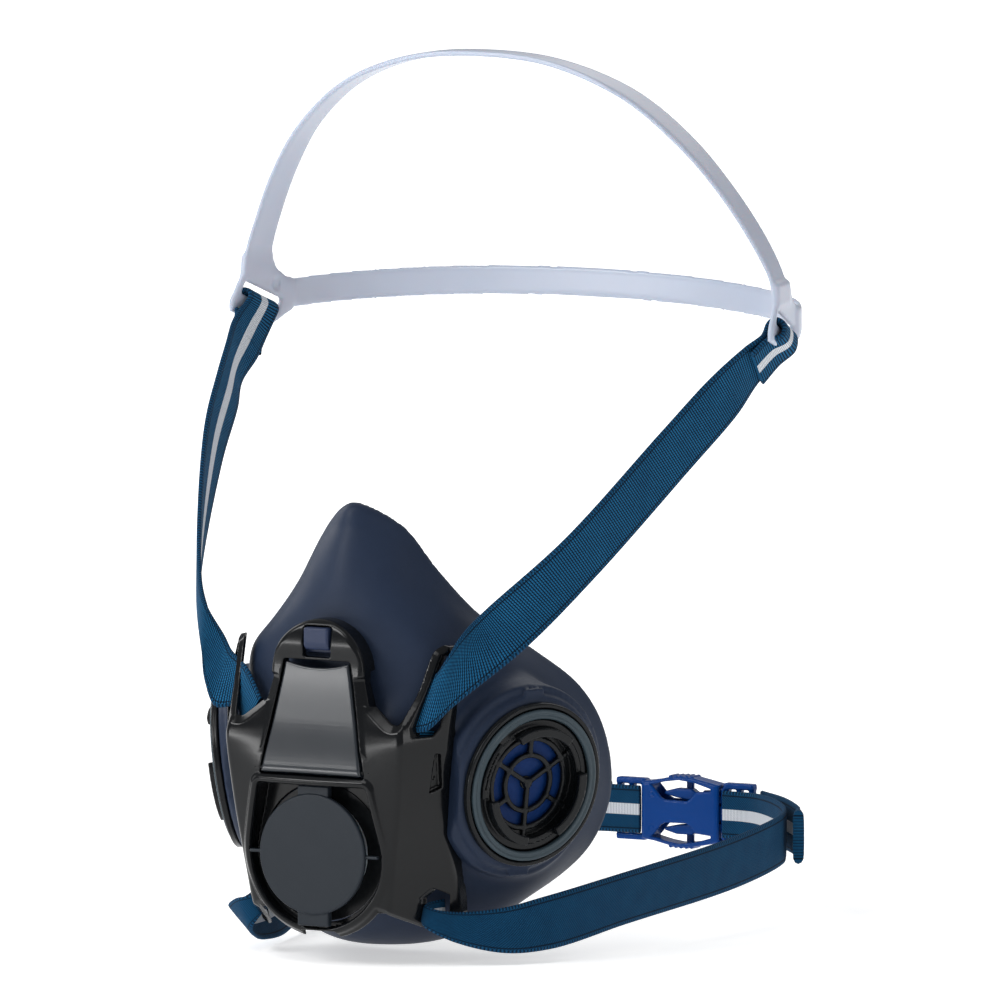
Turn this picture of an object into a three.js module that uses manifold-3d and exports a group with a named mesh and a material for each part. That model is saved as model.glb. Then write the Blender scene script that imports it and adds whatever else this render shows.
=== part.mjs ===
// Half-mask respirator: rubber facepiece, front frame with exhaust valve, two bayonet inlet ports, and a strap harness.
// Millimetres. +Z is up, the wearer's face is towards +Y, the mask's front faces -Y, and X = 0 is the plane of symmetry.
// The origin is the middle of the face opening, level with the rearmost part of the cheek seals.
import * as THREE from "three";
import { mergeVertices } from "three/addons/utils/BufferGeometryUtils.js";
import Module from "manifold-3d";

const wasm = await Module();
wasm.setup();

// ---------------------------------------------------------------- driving dimensions

const GAP = 0.3; // between pieces that touch
const STRAP_WIDTH = 15;
const UPPER_STRAP_WIDTH = 16;
const STRAP_THICKNESS = 1.3;

// Facepiece: one list per closed ring, from the nose round the right cheek to the chin, as [x, y, z].
const FACE_WALL = 2.4;
const FACE_RINGS = {
  front: [
    [0, -72.5, 33], [6, -73, 31], [11, -73.2, 27], [15, -73.8, 21], [18, -74.4, 14], [20.5, -77, 7], [22, -77, 0],
    [22, -77, -9], [20.3, -76, -21], [18.3, -75, -36], [14.5, -72.5, -44], [8.5, -70.5, -48.5], [0, -70, -50],
  ],
  brow: [
    [0, -71, 45], [8, -70, 42.5], [16, -68.5, 37], [24, -67, 31], [30.5, -66, 24.5], [32, -66, 14], [33, -65.5, 4],
    [31.5, -65, -8], [29.3, -63.5, -20], [25.3, -61.5, -37], [20.5, -60.5, -48], [12, -60, -54.5], [0, -60, -57],
  ],
  cheek: [
    [0, -66.5, 57.5], [9.5, -62, 53], [19.5, -58.5, 42.5], [30, -53, 33.5], [37, -48, 25.5], [42.5, -42, 15], [46, -37, 5],
    [48.4, -34, -8], [48.4, -34, -20], [44, -35, -37], [33, -40, -50], [18, -44, -57.5], [0, -46, -59.5],
  ],
  rim: [
    [0, -59.5, 67], [10, -52.5, 59.4], [20, -47.4, 45.3], [28.5, -38.7, 36], [37, -23, 25], [43.7, -9, 14], [47.6, -2.6, 3],
    [49.6, 0, -11], [48.9, -0.5, -21.5], [44.5, -5, -34], [34.5, -15, -45], [18, -28, -55], [0, -35, -58.5],
  ],
};
const LIP_WIDTH = 10; // the seal flange that turns inwards from the rim
const LIP_FORWARD = 4;
const RING_POINTS = 40;

// Inlet ports: the right one's centre on the outer face of the cheek's round pad, and its outward axis.
const PORT_CENTRE = [48.1, -45.8, -11];
const PORT_AZIMUTH = THREE.MathUtils.degToRad(68);
const PORT_DIP = THREE.MathUtils.degToRad(8); // the ports look down a little
const PAD_RADIUS = 25.5;
const PAD_DEPTH = 13;
const BARREL_RADIUS = 17;
const BARREL_WALL = 1.5;
const BARREL_BACK = -15.2;
const LOCK_RING_RADIUS = 21;
const BARREL_FRONT = 2;
const FLANGE_RADIUS = 23.6;
const FLANGE_FRONT = 2.2;
const GASKET_INNER = 19.2;
const GASKET_OUTER = 21.9;
const LUG_FRONT = 5;
const LUG_LIP = 1.5;
const LUG_INNER = 14.4;
const LUG_SPAN = 70;
const LUG_ANGLES = { right: [111, 203, 310], left: [-92, 0, 107] }; // from the front edge of the port, in degrees
const GRILLE_BACK = -1.6;
const GRILLE_FRONT = -0.2;
const GRILLE_RINGS = [8, 12.9];
const GRILLE_BAR = 1.5;
const STEM_RADIUS = 1.1;
const INLET_FLAP_RADIUS = 13.6;
const INLET_FLAP_THICKNESS = 0.7;
const INLET_FLAP_FRONT = -2;

// Front frame: its ridge lines and the wings' rear edges, as [z, x, y], and the middle of its face, as [z, y].
const FRAME_WALL = 2.2;
const RIDGE = [
  [-56, 18.5, -77.5], [-46, 22, -80], [-37, 23.6, -81], [-28, 25, -81.9], [-18, 26.5, -82.8], [-11, 27.3, -83.4],
  [-2, 28.1, -84.2], [3, 28.4, -84.2], [7, 27.8, -83.4], [16, 28.8, -78.5], [29, 31.5, -71.5],
];
const REAR_EDGE = [
  [-56, 30, -59.5], [-47, 33.3, -58], [-35, 32.8, -61.5], [-24, 32.6, -65.5], [-11, 33.9, -69], [0, 35.8, -70],
  [12, 36.6, -69.5], [29, 34.5, -66.5],
];
const FACE_LINE = [
  [-56, -79.5], [-46, -83.2], [-37, -84.4], [-20, -86], [-8, -86.1], [8, -83.8], [23, -82.3], [30, -82.4],
  [35, -81.1], [38, -78.4],
];
const ARCH_CENTRE_Z = 21.3;
const ARCH_RADIUS = 15;
const ARCH_SIDE_BACK = -75;
const LEG_SIDE_BACK = -77.4;
const LEG_FOOT = [18.4, 6];
const COVER_TOP = { z: 24.2, halfWidth: 10.3, dip: 1.6 };
const COVER_BOTTOM = { z: -7.2, halfWidth: 16.3 };
const COVER_SEAM = 0.6;
const COVER_THICKNESS = 1.8;
const HINGE = { y: -84.5, z: -6.1, radius: 0.55, halfLength: 18.6 };
const HINGE_CLEARANCE = 0.12;
const CAVITY_TOP = { z: -10.4, halfWidth: 17.8 };
const EXHAUST_Z = -30;
const CAVITY_RADIUS = 21.2;
const CAVITY_WALL = 1.5;
const CAVITY_BACK = -78.6;
const CHIN_RADIUS = 24.4; // the frame's bottom edge, round the exhaust cover
const WINDOW = { halfWidth: 4.5, bottom: 25.6, top: 34.4 };
const BUTTON = { halfWidth: 4, bottom: 27.6, top: 34, front: -83, shoulder: -79.4, back: -78.5 };
const SPRING = { halfLength: 4.6, width: 3.4, thickness: 0.3, z: 30.8, front: -78.05, back: -76.25 };
const SPRING_SEAT = { y0: -75.8, y1: -74.6, bottom: 27.5, top: 34 };

// Exhaust valve: the round cover in the cavity, and the flap and seat behind it.
const DISC_RADIUS = 17.1;
const DISC = { front: -85, back: -83.4 };
const DISC_TAB_HALF = 5;
const SEAT = { front: -78.2, back: -70.5, outer: 19.4, barrel: 15.6, wall: 1.6, flangeBack: -76.2 };
const EXHAUST_FLAP = { front: -79.4, back: -78.6, radius: 14.6 };

// Head cradle: half of its crown arch and of its rear band, as [x, y, z].
const CROWN = [
  [86.4, 31, 120, 0.98, 0.2, 0], [85.2, 30.5, 127, 0.95, 0.2, 0.1], [81, 28.5, 137, 0.9, 0.15, 0.3], [72.5, 24, 152, 0.8, 0.1, 0.5],
  [61.5, 19.5, 166, 0.6, 0, 0.75], [45, 16, 179, 0.45, 0, 0.9], [23, 13.5, 187, 0.2, 0, 1], [0, 13, 189, 0, 0, 1],
];
const BAND = [
  [84.3, 42.5, 113.6, 0.98, 0.2, 0], [82.2, 48.5, 114, 0.93, 0.36, 0], [76, 57, 114.8, 0.75, 0.65, 0], [63, 65.5, 116, 0.5, 0.85, 0],
  [42, 71.5, 117.4, 0.25, 0.97, 0], [20, 74.3, 118.2, 0.1, 1, 0], [0, 75, 118.4, 0, 1, 0],
];
const CROWN_WIDTH = 11.5;
const BAND_WIDTH = 8.6;
const CRADLE_THICKNESS = 1.6;
// The flat corner plates stand on end, turned in a little towards the back; outline and slot as [distance back, z].
const CORNER_AT = [86.2, 31.3];
const CORNER_TURN = THREE.MathUtils.degToRad(12);
const CORNER = [
  [-11.2, 113.5], [-5.8, 121], [-5.5, 126], [5.5, 126], [7.5, 121.5], [12, 118.6], [14, 118], [14, 109.3], [8.5, 106.8], [5, 105.4],
];
const CORNER_SLOT = [[-8.4, 116.6], [-6.6, 119.4], [9.4, 112.6], [8, 109.4]];
const CORNER_BAR = { back: -0.2, z: 111.5 };

// Buckle at the nape: middle, and the direction from its socket to its plug.
const BUCKLE_CENTRE = [3.3, 122.5, -38.4];
const BUCKLE_TURN = THREE.MathUtils.degToRad(2);
const BUCKLE_HALF_HEIGHT = 9;
const BUCKLE_HALF_DEPTH = 3.2;

// Strap routes, right-hand side, as [x, y, z] with the direction that the plain outer face looks in, [nx, ny, nz].
const UPPER_RIGHT = [
  [31.8, -77.3, 12, 0.8, -0.6, 0], [38.2, -70.4, 20, 0.86, -0.5, 0.1], [46, -57, 31, 0.9, -0.4, 0], [58, -35, 52, 0.92, -0.38, 0],
  [72, -4, 81, 0.95, -0.3, 0], [80.5, 15, 98.5, 0.98, -0.2, 0], [84.2, 25, 106, 1, 0.1, 0],
];
const UPPER_LEFT = [
  [-31.8, -77.3, 12, -0.6, -0.8, 0], [-41, -72, 21, -0.5, -0.85, 0.1], [-50, -63, 31, -0.6, -0.8, 0.1], [-61, -44, 46, -0.9, -0.4, 0.1],
  [-74, -14, 76, -1, -0.1, 0], [-82.5, 12, 98, -1, 0, 0], [-84.4, 25, 106, -1, 0.1, 0],
];
const NECK_RIGHT = [
  [30.5, -69.5, -47.5, 0.88, -0.47, 0], [36, -64, -51, 0.9, -0.4, 0.1], [46, -56, -51.8, 0.95, -0.3, 0.1], [53, -44.8, -50.5, 0.97, -0.2, 0.1],
  [60, -12.9, -46.4, 1, 0, 0], [62, 45, -42.3, 1, 0.05, 0], [59.5, 77, -39.3, 0.9, 0.35, 0], [53.5, 91, -38.6, 0.7, 0.7, 0],
  [42, 106, -38.4, 0.5, 0.85, 0], [26.4, 121.2, -38.4, 0.3, 0.95, 0],
];
const NECK_LEFT = [
  [-29.8, -68.5, -48.5, -0.88, -0.47, 0], [-35.6, -60.5, -52.3, -0.93, -0.35, 0.1], [-41, -42, -53, -0.97, -0.25, 0.1],
  [-52, 5, -48.5, -1, -0.1, 0], [-58, 45, -45, -1, 0.05, 0], [-57, 80, -42, -0.9, 0.4, 0], [-45, 107, -39.5, -0.5, 0.85, 0],
  [-22, 120.2, -38.4, -0.2, 0.98, 0],
];
const FREE_END_RIGHT = [
  [27, 125, -38.4, 0.3, 0.95, 0], [43, 110, -38.4, 0.5, 0.85, 0], [56, 94.5, -38.4, 0.7, 0.7, 0], [61.5, 85, -38.3, 0.85, 0.5, 0],
];
const FREE_END_LEFT = [
  [-22, 124.2, -38.4, -0.2, 0.98, 0], [-42, 115.5, -38.8, -0.6, 0.8, 0], [-54, 102, -39.2, -0.85, 0.5, 0],
];
const RUN = { heights: [6, -2, -12, -22, -31, -39], width: 9, across: 0.56 }; // behind the wing, from slot to slot
const UPPER_SLOT = [[29.6, 9], [30.2, 18], [31.6, 24], [33, 24.4], [34.3, 21], [34.2, 13], [33, 8.5]];
const LOWER_SLOT = [[26.6, -50.5], [27.6, -42.5], [29.3, -40.2], [31.2, -42], [30.6, -49.5], [28.8, -52]];

// ---------------------------------------------------------------- tools

const V = (p) => new THREE.Vector3(p[0], p[1], p[2]);

// A closed geometry, moved by a matrix, as a manifold-3d solid with its faces pointing out.
function solid(geometry, matrix) {
  const g = geometry.clone();
  for (const name of ["normal", "uv"]) if (g.getAttribute(name)) g.deleteAttribute(name);
  if (matrix) g.applyMatrix4(matrix);
  const merged = mergeVertices(g, 1e-4);
  const triVerts = new Uint32Array(merged.index.array);
  const make = () =>
    new wasm.Manifold(new wasm.Mesh({ numProp: 3, vertProperties: new Float32Array(merged.attributes.position.array), triVerts }));
  const made = make();
  if (made.volume() >= 0) return made;
  for (let i = 0; i < triVerts.length; i += 3) [triVerts[i + 1], triVerts[i + 2]] = [triVerts[i + 2], triVerts[i + 1]];
  return make();
}

function geometryOf(made) {
  const mesh = made.getMesh();
  const step = mesh.numProp;
  const positions = new Float32Array(mesh.numVert * 3);
  for (let i = 0; i < mesh.numVert; i++) positions.set(mesh.vertProperties.subarray(i * step, i * step + 3), i * 3);
  const g = new THREE.BufferGeometry();
  g.setAttribute("position", new THREE.BufferAttribute(positions, 3));
  g.setIndex(new THREE.BufferAttribute(mesh.triVerts, 1));
  return g;
}

const union = (first, ...rest) => rest.reduce((a, b) => a.add(b), first);

// The largest body of a solid, without the slivers that a cut leaves.
const mainBody = (made) => made.decompose().reduce((a, b) => (a.volume() > b.volume() ? a : b));

// Skins closed rings of equal length, with a fan to the middle of the first and the last one.
function loft(rings) {
  const n = rings[0].length;
  const points = rings.flat();
  const index = [];
  for (let r = 0; r + 1 < rings.length; r++)
    for (let i = 0; i < n; i++) {
      const j = (i + 1) % n;
      index.push(r * n + i, r * n + j, (r + 1) * n + j, r * n + i, (r + 1) * n + j, (r + 1) * n + i);
    }
  const middle = (ring) => ring.reduce((sum, p) => sum.add(p), new THREE.Vector3()).divideScalar(n);
  points.push(middle(rings[0]), middle(rings[rings.length - 1]));
  const last = (rings.length - 1) * n;
  for (let i = 0; i < n; i++) {
    const j = (i + 1) % n;
    index.push(points.length - 2, j, i, points.length - 1, last + i, last + j);
  }
  const g = new THREE.BufferGeometry().setFromPoints(points);
  g.setIndex(index);
  return g;
}

// A flat strip of webbing along stations of [x, y, z, nx, ny, nz], where n is the way its face looks.
function ribbon(stations, { width = STRAP_WIDTH, thickness = STRAP_THICKNESS, steps = 5, pinch = () => 1 } = {}) {
  const path = new THREE.CatmullRomCurve3(stations.map(V), false, "centripetal");
  const count = (stations.length - 1) * steps;
  const rings = [];
  for (let i = 0; i <= count; i++) {
    const t = i / count;
    const tangent = path.getTangent(t);
    const k = Math.min(stations.length - 2, Math.floor(t * (stations.length - 1)));
    const share = t * (stations.length - 1) - k;
    const normal = V(stations[k].slice(3)).lerp(V(stations[k + 1].slice(3)), share);
    normal.addScaledVector(tangent, -normal.dot(tangent)).normalize();
    const across = new THREE.Vector3().crossVectors(tangent, normal).multiplyScalar((width * pinch(t)) / 2);
    normal.multiplyScalar(thickness / 2);
    const at = path.getPoint(t);
    rings.push([[1, 1], [-1, 1], [-1, -1], [1, -1]].map(([a, b]) => at.clone().addScaledVector(across, a).addScaledVector(normal, b)));
  }
  return loft(rings);
}

function shapeOf(points) {
  return new THREE.Shape(points.map(([a, b]) => new THREE.Vector2(a, b)));
}

// A shape drawn in X and Z, extruded from y0 to y1.
function prismXZ(shape, y0, y1, curveSegments = 20) {
  const g = new THREE.ExtrudeGeometry(shape, { depth: y1 - y0, bevelEnabled: false, curveSegments });
  return solid(g.rotateX(Math.PI / 2).translate(0, y1, 0));
}

// A shape drawn in Y and Z, extruded from x0 to x1.
function prismYZ(shape, x0, x1) {
  const g = new THREE.ExtrudeGeometry(shape, { depth: x1 - x0, bevelEnabled: false });
  const turn = new THREE.Matrix4().makeBasis(V([0, 1, 0]), V([0, 0, 1]), V([1, 0, 0])).setPosition(x0, 0, 0);
  return solid(g, turn);
}

function box(x0, x1, y0, y1, z0, z1) {
  return solid(new THREE.BoxGeometry(x1 - x0, y1 - y0, z1 - z0).translate((x0 + x1) / 2, (y0 + y1) / 2, (z0 + z1) / 2));
}

// A body of revolution about the Y axis of its own frame: profile is closed, as [radius, height].
function turned(profile, segments = 40, matrix) {
  const closed = [...profile, profile[0]].map(([r, h]) => new THREE.Vector2(r, h));
  return solid(new THREE.LatheGeometry(closed, segments), matrix);
}

// A solid disc or ring about Y at (x, z).
function ringY(x, z, y0, y1, outer, inner = 0, segments = 40) {
  return turned([[inner, y0], [outer, y0], [outer, y1], [inner, y1]], segments, new THREE.Matrix4().makeTranslation(x, 0, z));
}

function mirrored(made) {
  return made.mirror([1, 0, 0]);
}

// Straight-line interpolation in a table whose first column rises, giving the other columns.
function lookUp(table, key) {
  let k = 0;
  while (k < table.length - 2 && key > table[k + 1][0]) k++;
  const t = (key - table[k][0]) / (table[k + 1][0] - table[k][0]);
  return table[k].slice(1).map((a, i) => a + (table[k + 1][i + 1] - a) * t);
}

// The same table through a smooth curve, at more places.
function smoothed(table, from, to, count) {
  const curve = new THREE.CatmullRomCurve3(
    table.map((row) => new THREE.Vector3(row[1], row[2] ?? 0, row[0])), false, "centripetal");
  const dense = curve.getPoints(table.length * 12).map((p) => [p.z, p.x, p.y].slice(0, table[0].length));
  return Array.from({ length: count + 1 }, (_, i) => {
    const z = from + ((to - from) * i) / count;
    return [z, ...lookUp(dense, z)];
  });
}

// ---------------------------------------------------------------- facepiece

function makeFacepiece() {
  const closedRing = (half) => {
    const left = half.slice(1, -1).reverse().map(([x, y, z]) => [-x, y, z]);
    const curve = new THREE.CatmullRomCurve3([...half, ...left].map(V), true, "centripetal");
    return Array.from({ length: RING_POINTS }, (_, i) => curve.getPoint(i / RING_POINTS));
  };
  const [front, brow, cheek, rim] = ["front", "brow", "cheek", "rim"].map((name) => closedRing(FACE_RINGS[name]));
  const profiles = front.map((_, i) => new THREE.CatmullRomCurve3([front[i], brow[i], cheek[i], rim[i]], false, "centripetal"));
  const sections = 7;
  const outer = Array.from({ length: sections + 1 }, (_, s) => profiles.map((c) => c.getPoint(s / sections)));
  // The inner skin is the outer one moved towards the mask's hollow by the wall.
  const inner = outer.map((ring, s) =>
    ring.map((p, i) => {
      const along = outer[Math.min(s + 1, sections)][i].clone().sub(outer[Math.max(s - 1, 0)][i]);
      const round = ring[(i + 1) % RING_POINTS].clone().sub(ring[(i + RING_POINTS - 1) % RING_POINTS]);
      const normal = along.cross(round).normalize();
      return p.clone().addScaledVector(normal, FACE_WALL * (s === 0 ? 0.6 : 1)).add(new THREE.Vector3(0, s === 0 ? FACE_WALL : 0, 0));
    }),
  );
  const inward = (p) => new THREE.Vector3(-p.x, 0, -5 - p.z).normalize();
  const lip = rim.map((p) => p.clone().addScaledVector(inward(p), LIP_WIDTH).add(new THREE.Vector3(0, -LIP_FORWARD, 0)));
  const lipEdge = lip.map((p) => p.clone().add(new THREE.Vector3(0, -1.8, 0)));
  const rimInside = rim.map((p) => p.clone().addScaledVector(inward(p), FACE_WALL).add(new THREE.Vector3(0, -3, 0)));
  const shell = solid(loft([...outer, lip, lipEdge, rimInside, ...inner.slice(0, sections).reverse()]));
  const pad = portSolid(turned([[0, 0], [PAD_RADIUS, 0], [PAD_RADIUS, -PAD_DEPTH], [0, -PAD_DEPTH]], 40));
  const seat = LOCK_RING_RADIUS + 0.8;
  const bore = portSolid(turned([
    [0, 5], [BARREL_RADIUS + GAP, 5], [BARREL_RADIUS + GAP, -PAD_DEPTH], [seat, -PAD_DEPTH], [seat, -20], [0, -20],
  ]));
  const exhaust = ringY(0, EXHAUST_Z, -90, -60, SEAT.barrel + GAP);
  const wings = frameSlab(-4, FRAME_WALL + 0.9, 1.25).intersect(box(-40, 40, -90, -50, -60, 28.7));
  const whole = union(shell, pad, mirrored(pad));
  return mainBody(whole.subtract(bore).subtract(mirrored(bore)).subtract(exhaust).subtract(wings));
}

// ---------------------------------------------------------------- inlet ports

// Moves a solid from a port's own frame, where +Y looks out of the port and +X is its front edge, to the right cheek.
function portSolid(made) {
  const out = new THREE.Vector3(Math.sin(PORT_AZIMUTH), -Math.cos(PORT_AZIMUTH), -Math.tan(PORT_DIP)).normalize();
  const side = new THREE.Vector3().crossVectors(out, new THREE.Vector3(0, 0, 1)).normalize();
  const up = new THREE.Vector3().crossVectors(side, out);
  const m = new THREE.Matrix4().makeBasis(side, out, up).setPosition(...PORT_CENTRE);
  return made.transform(m.elements);
}

// A piece of a ring in a port's own frame, between two angles in degrees and two heights.
function sector(inner, outer, middle, span, h0, h1) {
  const from = THREE.MathUtils.degToRad(middle - span / 2);
  const to = THREE.MathUtils.degToRad(middle + span / 2);
  const shape = new THREE.Shape();
  shape.absarc(0, 0, outer, from, to, false);
  shape.absarc(0, 0, inner, to, from, true);
  return prismXZ(shape, h0, h1, 8);
}

function makeInletPort(lugAngles) {
  const inside = BARREL_RADIUS - BARREL_WALL;
  const body = turned([
    [inside, BARREL_BACK], [BARREL_RADIUS, BARREL_BACK], [BARREL_RADIUS, GAP], [FLANGE_RADIUS, GAP], [FLANGE_RADIUS, FLANGE_FRONT],
    [GASKET_OUTER + GAP, FLANGE_FRONT], [GASKET_OUTER + GAP, 1], [GASKET_INNER - GAP, 1], [GASKET_INNER - GAP, 1.6],
    [BARREL_RADIUS, BARREL_FRONT], [inside, BARREL_FRONT],
  ]);
  const bar = (angle, r0, r1) =>
    box(r0, r1, GRILLE_BACK, GRILLE_FRONT, -GRILLE_BAR / 2, GRILLE_BAR / 2).rotate([0, angle, 0]);
  const grille = [
    ...GRILLE_RINGS.map((r) => ringY(0, 0, GRILLE_BACK, GRILLE_FRONT, r + GRILLE_BAR / 2, r - GRILLE_BAR / 2, 36)),
    ...[30, 90, 150, 210, 270, 330].map((a) => bar(a, GRILLE_RINGS[0], inside + 0.4)),
    ...[90, 210, 330].map((a) => bar(-a, 0, GRILLE_RINGS[0])),
  ];
  const lugs = lugAngles.flatMap((a) => [
    sector(inside, BARREL_RADIUS, a, LUG_SPAN, BARREL_FRONT - 0.5, LUG_FRONT),
    sector(LUG_INNER, BARREL_RADIUS, a, LUG_SPAN, LUG_FRONT - LUG_LIP, LUG_FRONT),
  ]);
  const stem = union(
    ringY(0, 0, -5.2, GRILLE_BACK + 0.2, STEM_RADIUS, 0, 16),
    ringY(0, 0, -6, -5, STEM_RADIUS + 1.1, 0, 16),
  );
  return union(body, ...grille, ...lugs, stem);
}

function makeInletFlap() {
  const back = INLET_FLAP_FRONT - INLET_FLAP_THICKNESS;
  return ringY(0, 0, back, INLET_FLAP_FRONT, INLET_FLAP_RADIUS, STEM_RADIUS + 0.4, 36);
}

function makeGasket() {
  const crown = FLANGE_FRONT + 0.7;
  return turned([
    [GASKET_INNER, 1 + GAP], [GASKET_OUTER, 1 + GAP], [GASKET_OUTER, crown - 0.5], [GASKET_OUTER - 0.6, crown],
    [GASKET_INNER + 0.6, crown], [GASKET_INNER, crown - 0.5],
  ]);
}

function makePortRing() {
  const front = -PAD_DEPTH - GAP;
  return ringY(0, 0, BARREL_BACK, front, LOCK_RING_RADIUS, BARREL_RADIUS + GAP, 36);
}

// ---------------------------------------------------------------- front frame

const RIDGE_S = smoothed(RIDGE, -56, 30, 26);
const REAR_S = smoothed(REAR_EDGE, -56, 30, 26);
const LINE_S = smoothed(FACE_LINE.map(([z, y]) => [z, y, 0]), -56, 38, 32).map(([z, y]) => [z, y]);

const faceY = (z) => lookUp(LINE_S, z)[0];

// A slab between two depths behind the frame's outer surface: a face between the ridges, and a wing each side that
// goes on past the rear edge, where the outline cuts it.
function frameSlab(depth0, depth1, reach = 1.1) {
  const rows = RIDGE_S.map(([z, rx, ry], i) => {
    const [, ex, ey] = REAR_S[i];
    const wing = [rx + (ex - rx) * reach, ry + (ey - ry) * reach];
    const nx = ey - ry;
    const ny = ex - rx;
    const size = Math.hypot(nx, ny);
    return (depth) => {
      // Where the two walls meet inside, the corner is moved along the bisector of their normals.
      const half = [
        [0, faceY(z) + depth],
        [rx * 0.5, (faceY(z) * 3 + ry) / 4 + depth],
        [rx - (nx / size) * depth * 0.55, ry + depth],
        [wing[0] - (nx / size) * depth, wing[1] + (ny / size) * depth],
      ];
      return [...half.slice(1).reverse().map(([x, y]) => [-x, y]), ...half].map(([x, y]) => new THREE.Vector3(x, y, z));
    };
  });
  return solid(loft(rows.map((row) => [...row(depth0), ...row(depth1).reverse()])));
}

const ARCH_ANGLE = THREE.MathUtils.degToRad(8);

// The arch over the button and its two legs, down to where they meet the wings; grow moves the outline outwards.
function archShape(grow, footDrop = 0) {
  const r = ARCH_RADIUS + grow;
  const [x, z] = LEG_FOOT;
  const shape = new THREE.Shape();
  shape.moveTo(-x - grow, z - footDrop);
  shape.lineTo(x + grow, z - footDrop);
  shape.absarc(0, ARCH_CENTRE_Z, r, -ARCH_ANGLE, Math.PI + ARCH_ANGLE, false);
  return shape;
}

// The face between the ridges below the V-shaped valleys, with the round chin.
function bodyShape() {
  const right = [
    [LEG_FOOT[0], 8], [20.5, 9.5], [26, 6.5], [27.6, 10.5], [30.4, 24.5], [32, 26.6], [34, 26.2], [35.6, 22], [36.6, 12], [35.8, 0],
    [33.9, -11], [32.6, -24], [32.8, -35], [33.3, -47], [32.4, -53.2], [30, -54.2], [25, -50.5], [20.5, -46.2],
  ];
  const chin = Math.atan2(-46.2 - EXHAUST_Z, 20.5);
  const shape = shapeOf([...right]);
  shape.absarc(0, EXHAUST_Z, CHIN_RADIUS, chin, -Math.PI - chin, true);
  for (const [x, z] of [...right].reverse()) shape.lineTo(-x, z);
  return shape;
}

// The exhaust cavity's opening: straight sides at the top and round at the bottom.
function cavityShape(grow) {
  const r = CAVITY_RADIUS + grow;
  const lift = THREE.MathUtils.degToRad(12);
  const shape = new THREE.Shape();
  shape.moveTo(CAVITY_TOP.halfWidth + grow, CAVITY_TOP.z + grow);
  shape.lineTo(-CAVITY_TOP.halfWidth - grow, CAVITY_TOP.z + grow);
  shape.absarc(0, EXHAUST_Z, r, Math.PI - lift, 2 * Math.PI + lift, false);
  return shape;
}

// The lid's outline; its top edge dips in the middle to leave room for a fingertip.
function coverShape(grow) {
  const shape = new THREE.Shape();
  shape.moveTo(COVER_BOTTOM.halfWidth + grow, COVER_BOTTOM.z - grow);
  shape.lineTo(COVER_TOP.halfWidth + grow, COVER_TOP.z + grow);
  if (grow > 0) shape.lineTo(-COVER_TOP.halfWidth - grow, COVER_TOP.z + grow);
  else shape.quadraticCurveTo(0, COVER_TOP.z - 2 * COVER_TOP.dip, -COVER_TOP.halfWidth, COVER_TOP.z);
  shape.lineTo(-COVER_BOTTOM.halfWidth - grow, COVER_BOTTOM.z - grow);
  return shape;
}

function hingeHole(radius, halfLength) {
  const m = new THREE.Matrix4().makeRotationZ(Math.PI / 2).setPosition(0, HINGE.y, HINGE.z);
  return turned([[0, -halfLength], [radius, -halfLength], [radius, halfLength], [0, halfLength]], 16, m);
}

// What lies in front of the face line, less a given depth: it cuts straight walls to the face's curve.
function behindFace(depth) {
  const rows = LINE_S.map(([z, y]) => [
    new THREE.Vector3(-45, y + depth, z), new THREE.Vector3(45, y + depth, z), new THREE.Vector3(45, -60, z), new THREE.Vector3(-45, -60, z),
  ]);
  return solid(loft(rows));
}

function makeFrontFrame() {
  const skin = frameSlab(0, FRAME_WALL);
  const body = skin.intersect(prismXZ(bodyShape(), -110, -40));
  const archWall = prismXZ(archShape(0, 0), -95, ARCH_SIDE_BACK).subtract(prismXZ(archShape(-1.8, 2), -96, ARCH_SIDE_BACK + 1));
  const archFace = prismXZ(archShape(-0.5), -95, -70).intersect(behindFace(0).subtract(behindFace(FRAME_WALL)));
  const archSides = archWall.subtract(box(-30, 30, LEG_SIDE_BACK, -60, -10, 22)).intersect(behindFace(0.3));
  const arch = union(archSides, archFace);
  const liner = prismXZ(cavityShape(CAVITY_WALL), -95, CAVITY_BACK).intersect(behindFace(0.2));
  const lip = prismXZ(cavityShape(1), -95, -80).intersect(behindFace(-0.6));
  const seat = box(-14.6, 14.6, SPRING_SEAT.y0, SPRING_SEAT.y1, SPRING_SEAT.bottom, SPRING_SEAT.top)
    .intersect(prismXZ(archShape(-0.5), -80, -70));
  const made = union(body, arch, liner, lip, seat)
    .subtract(prismXZ(cavityShape(0), -100, -60))
    .subtract(prismXZ(coverShape(COVER_SEAM), -100, -79.2))
    .subtract(box(-WINDOW.halfWidth, WINDOW.halfWidth, -100, -77.2, WINDOW.bottom, WINDOW.top))
    .subtract(box(-5.6, 5.6, -95, -75, -54.6, -52))
    .subtract(hingeHole(HINGE.radius + HINGE_CLEARANCE, HINGE.halfLength + 0.4));
  const slots = [UPPER_SLOT, LOWER_SLOT].map((points) => prismXZ(shapeOf(points), -100, -50));
  return slots.reduce((a, slot) => a.subtract(slot).subtract(mirrored(slot)), made);
}

function makeFrontCover() {
  const slab = prismXZ(coverShape(0), -95, -80).intersect(behindFace(0.1).subtract(behindFace(0.1 + COVER_THICKNESS)));
  const knuckle = hingeHole(1.25, 15.6);
  // Below its axis the lid is rounded, so that it turns clear of the bar under it.
  const swept = box(-20, 20, -95, -80, -9, HINGE.z).subtract(hingeHole(1.45, 20));
  const catchHook = box(-3, 3, -82, -79.6, 20.4, 21.8);
  return union(slab.subtract(swept), knuckle, catchHook).subtract(hingeHole(HINGE.radius + HINGE_CLEARANCE, 30));
}

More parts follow.
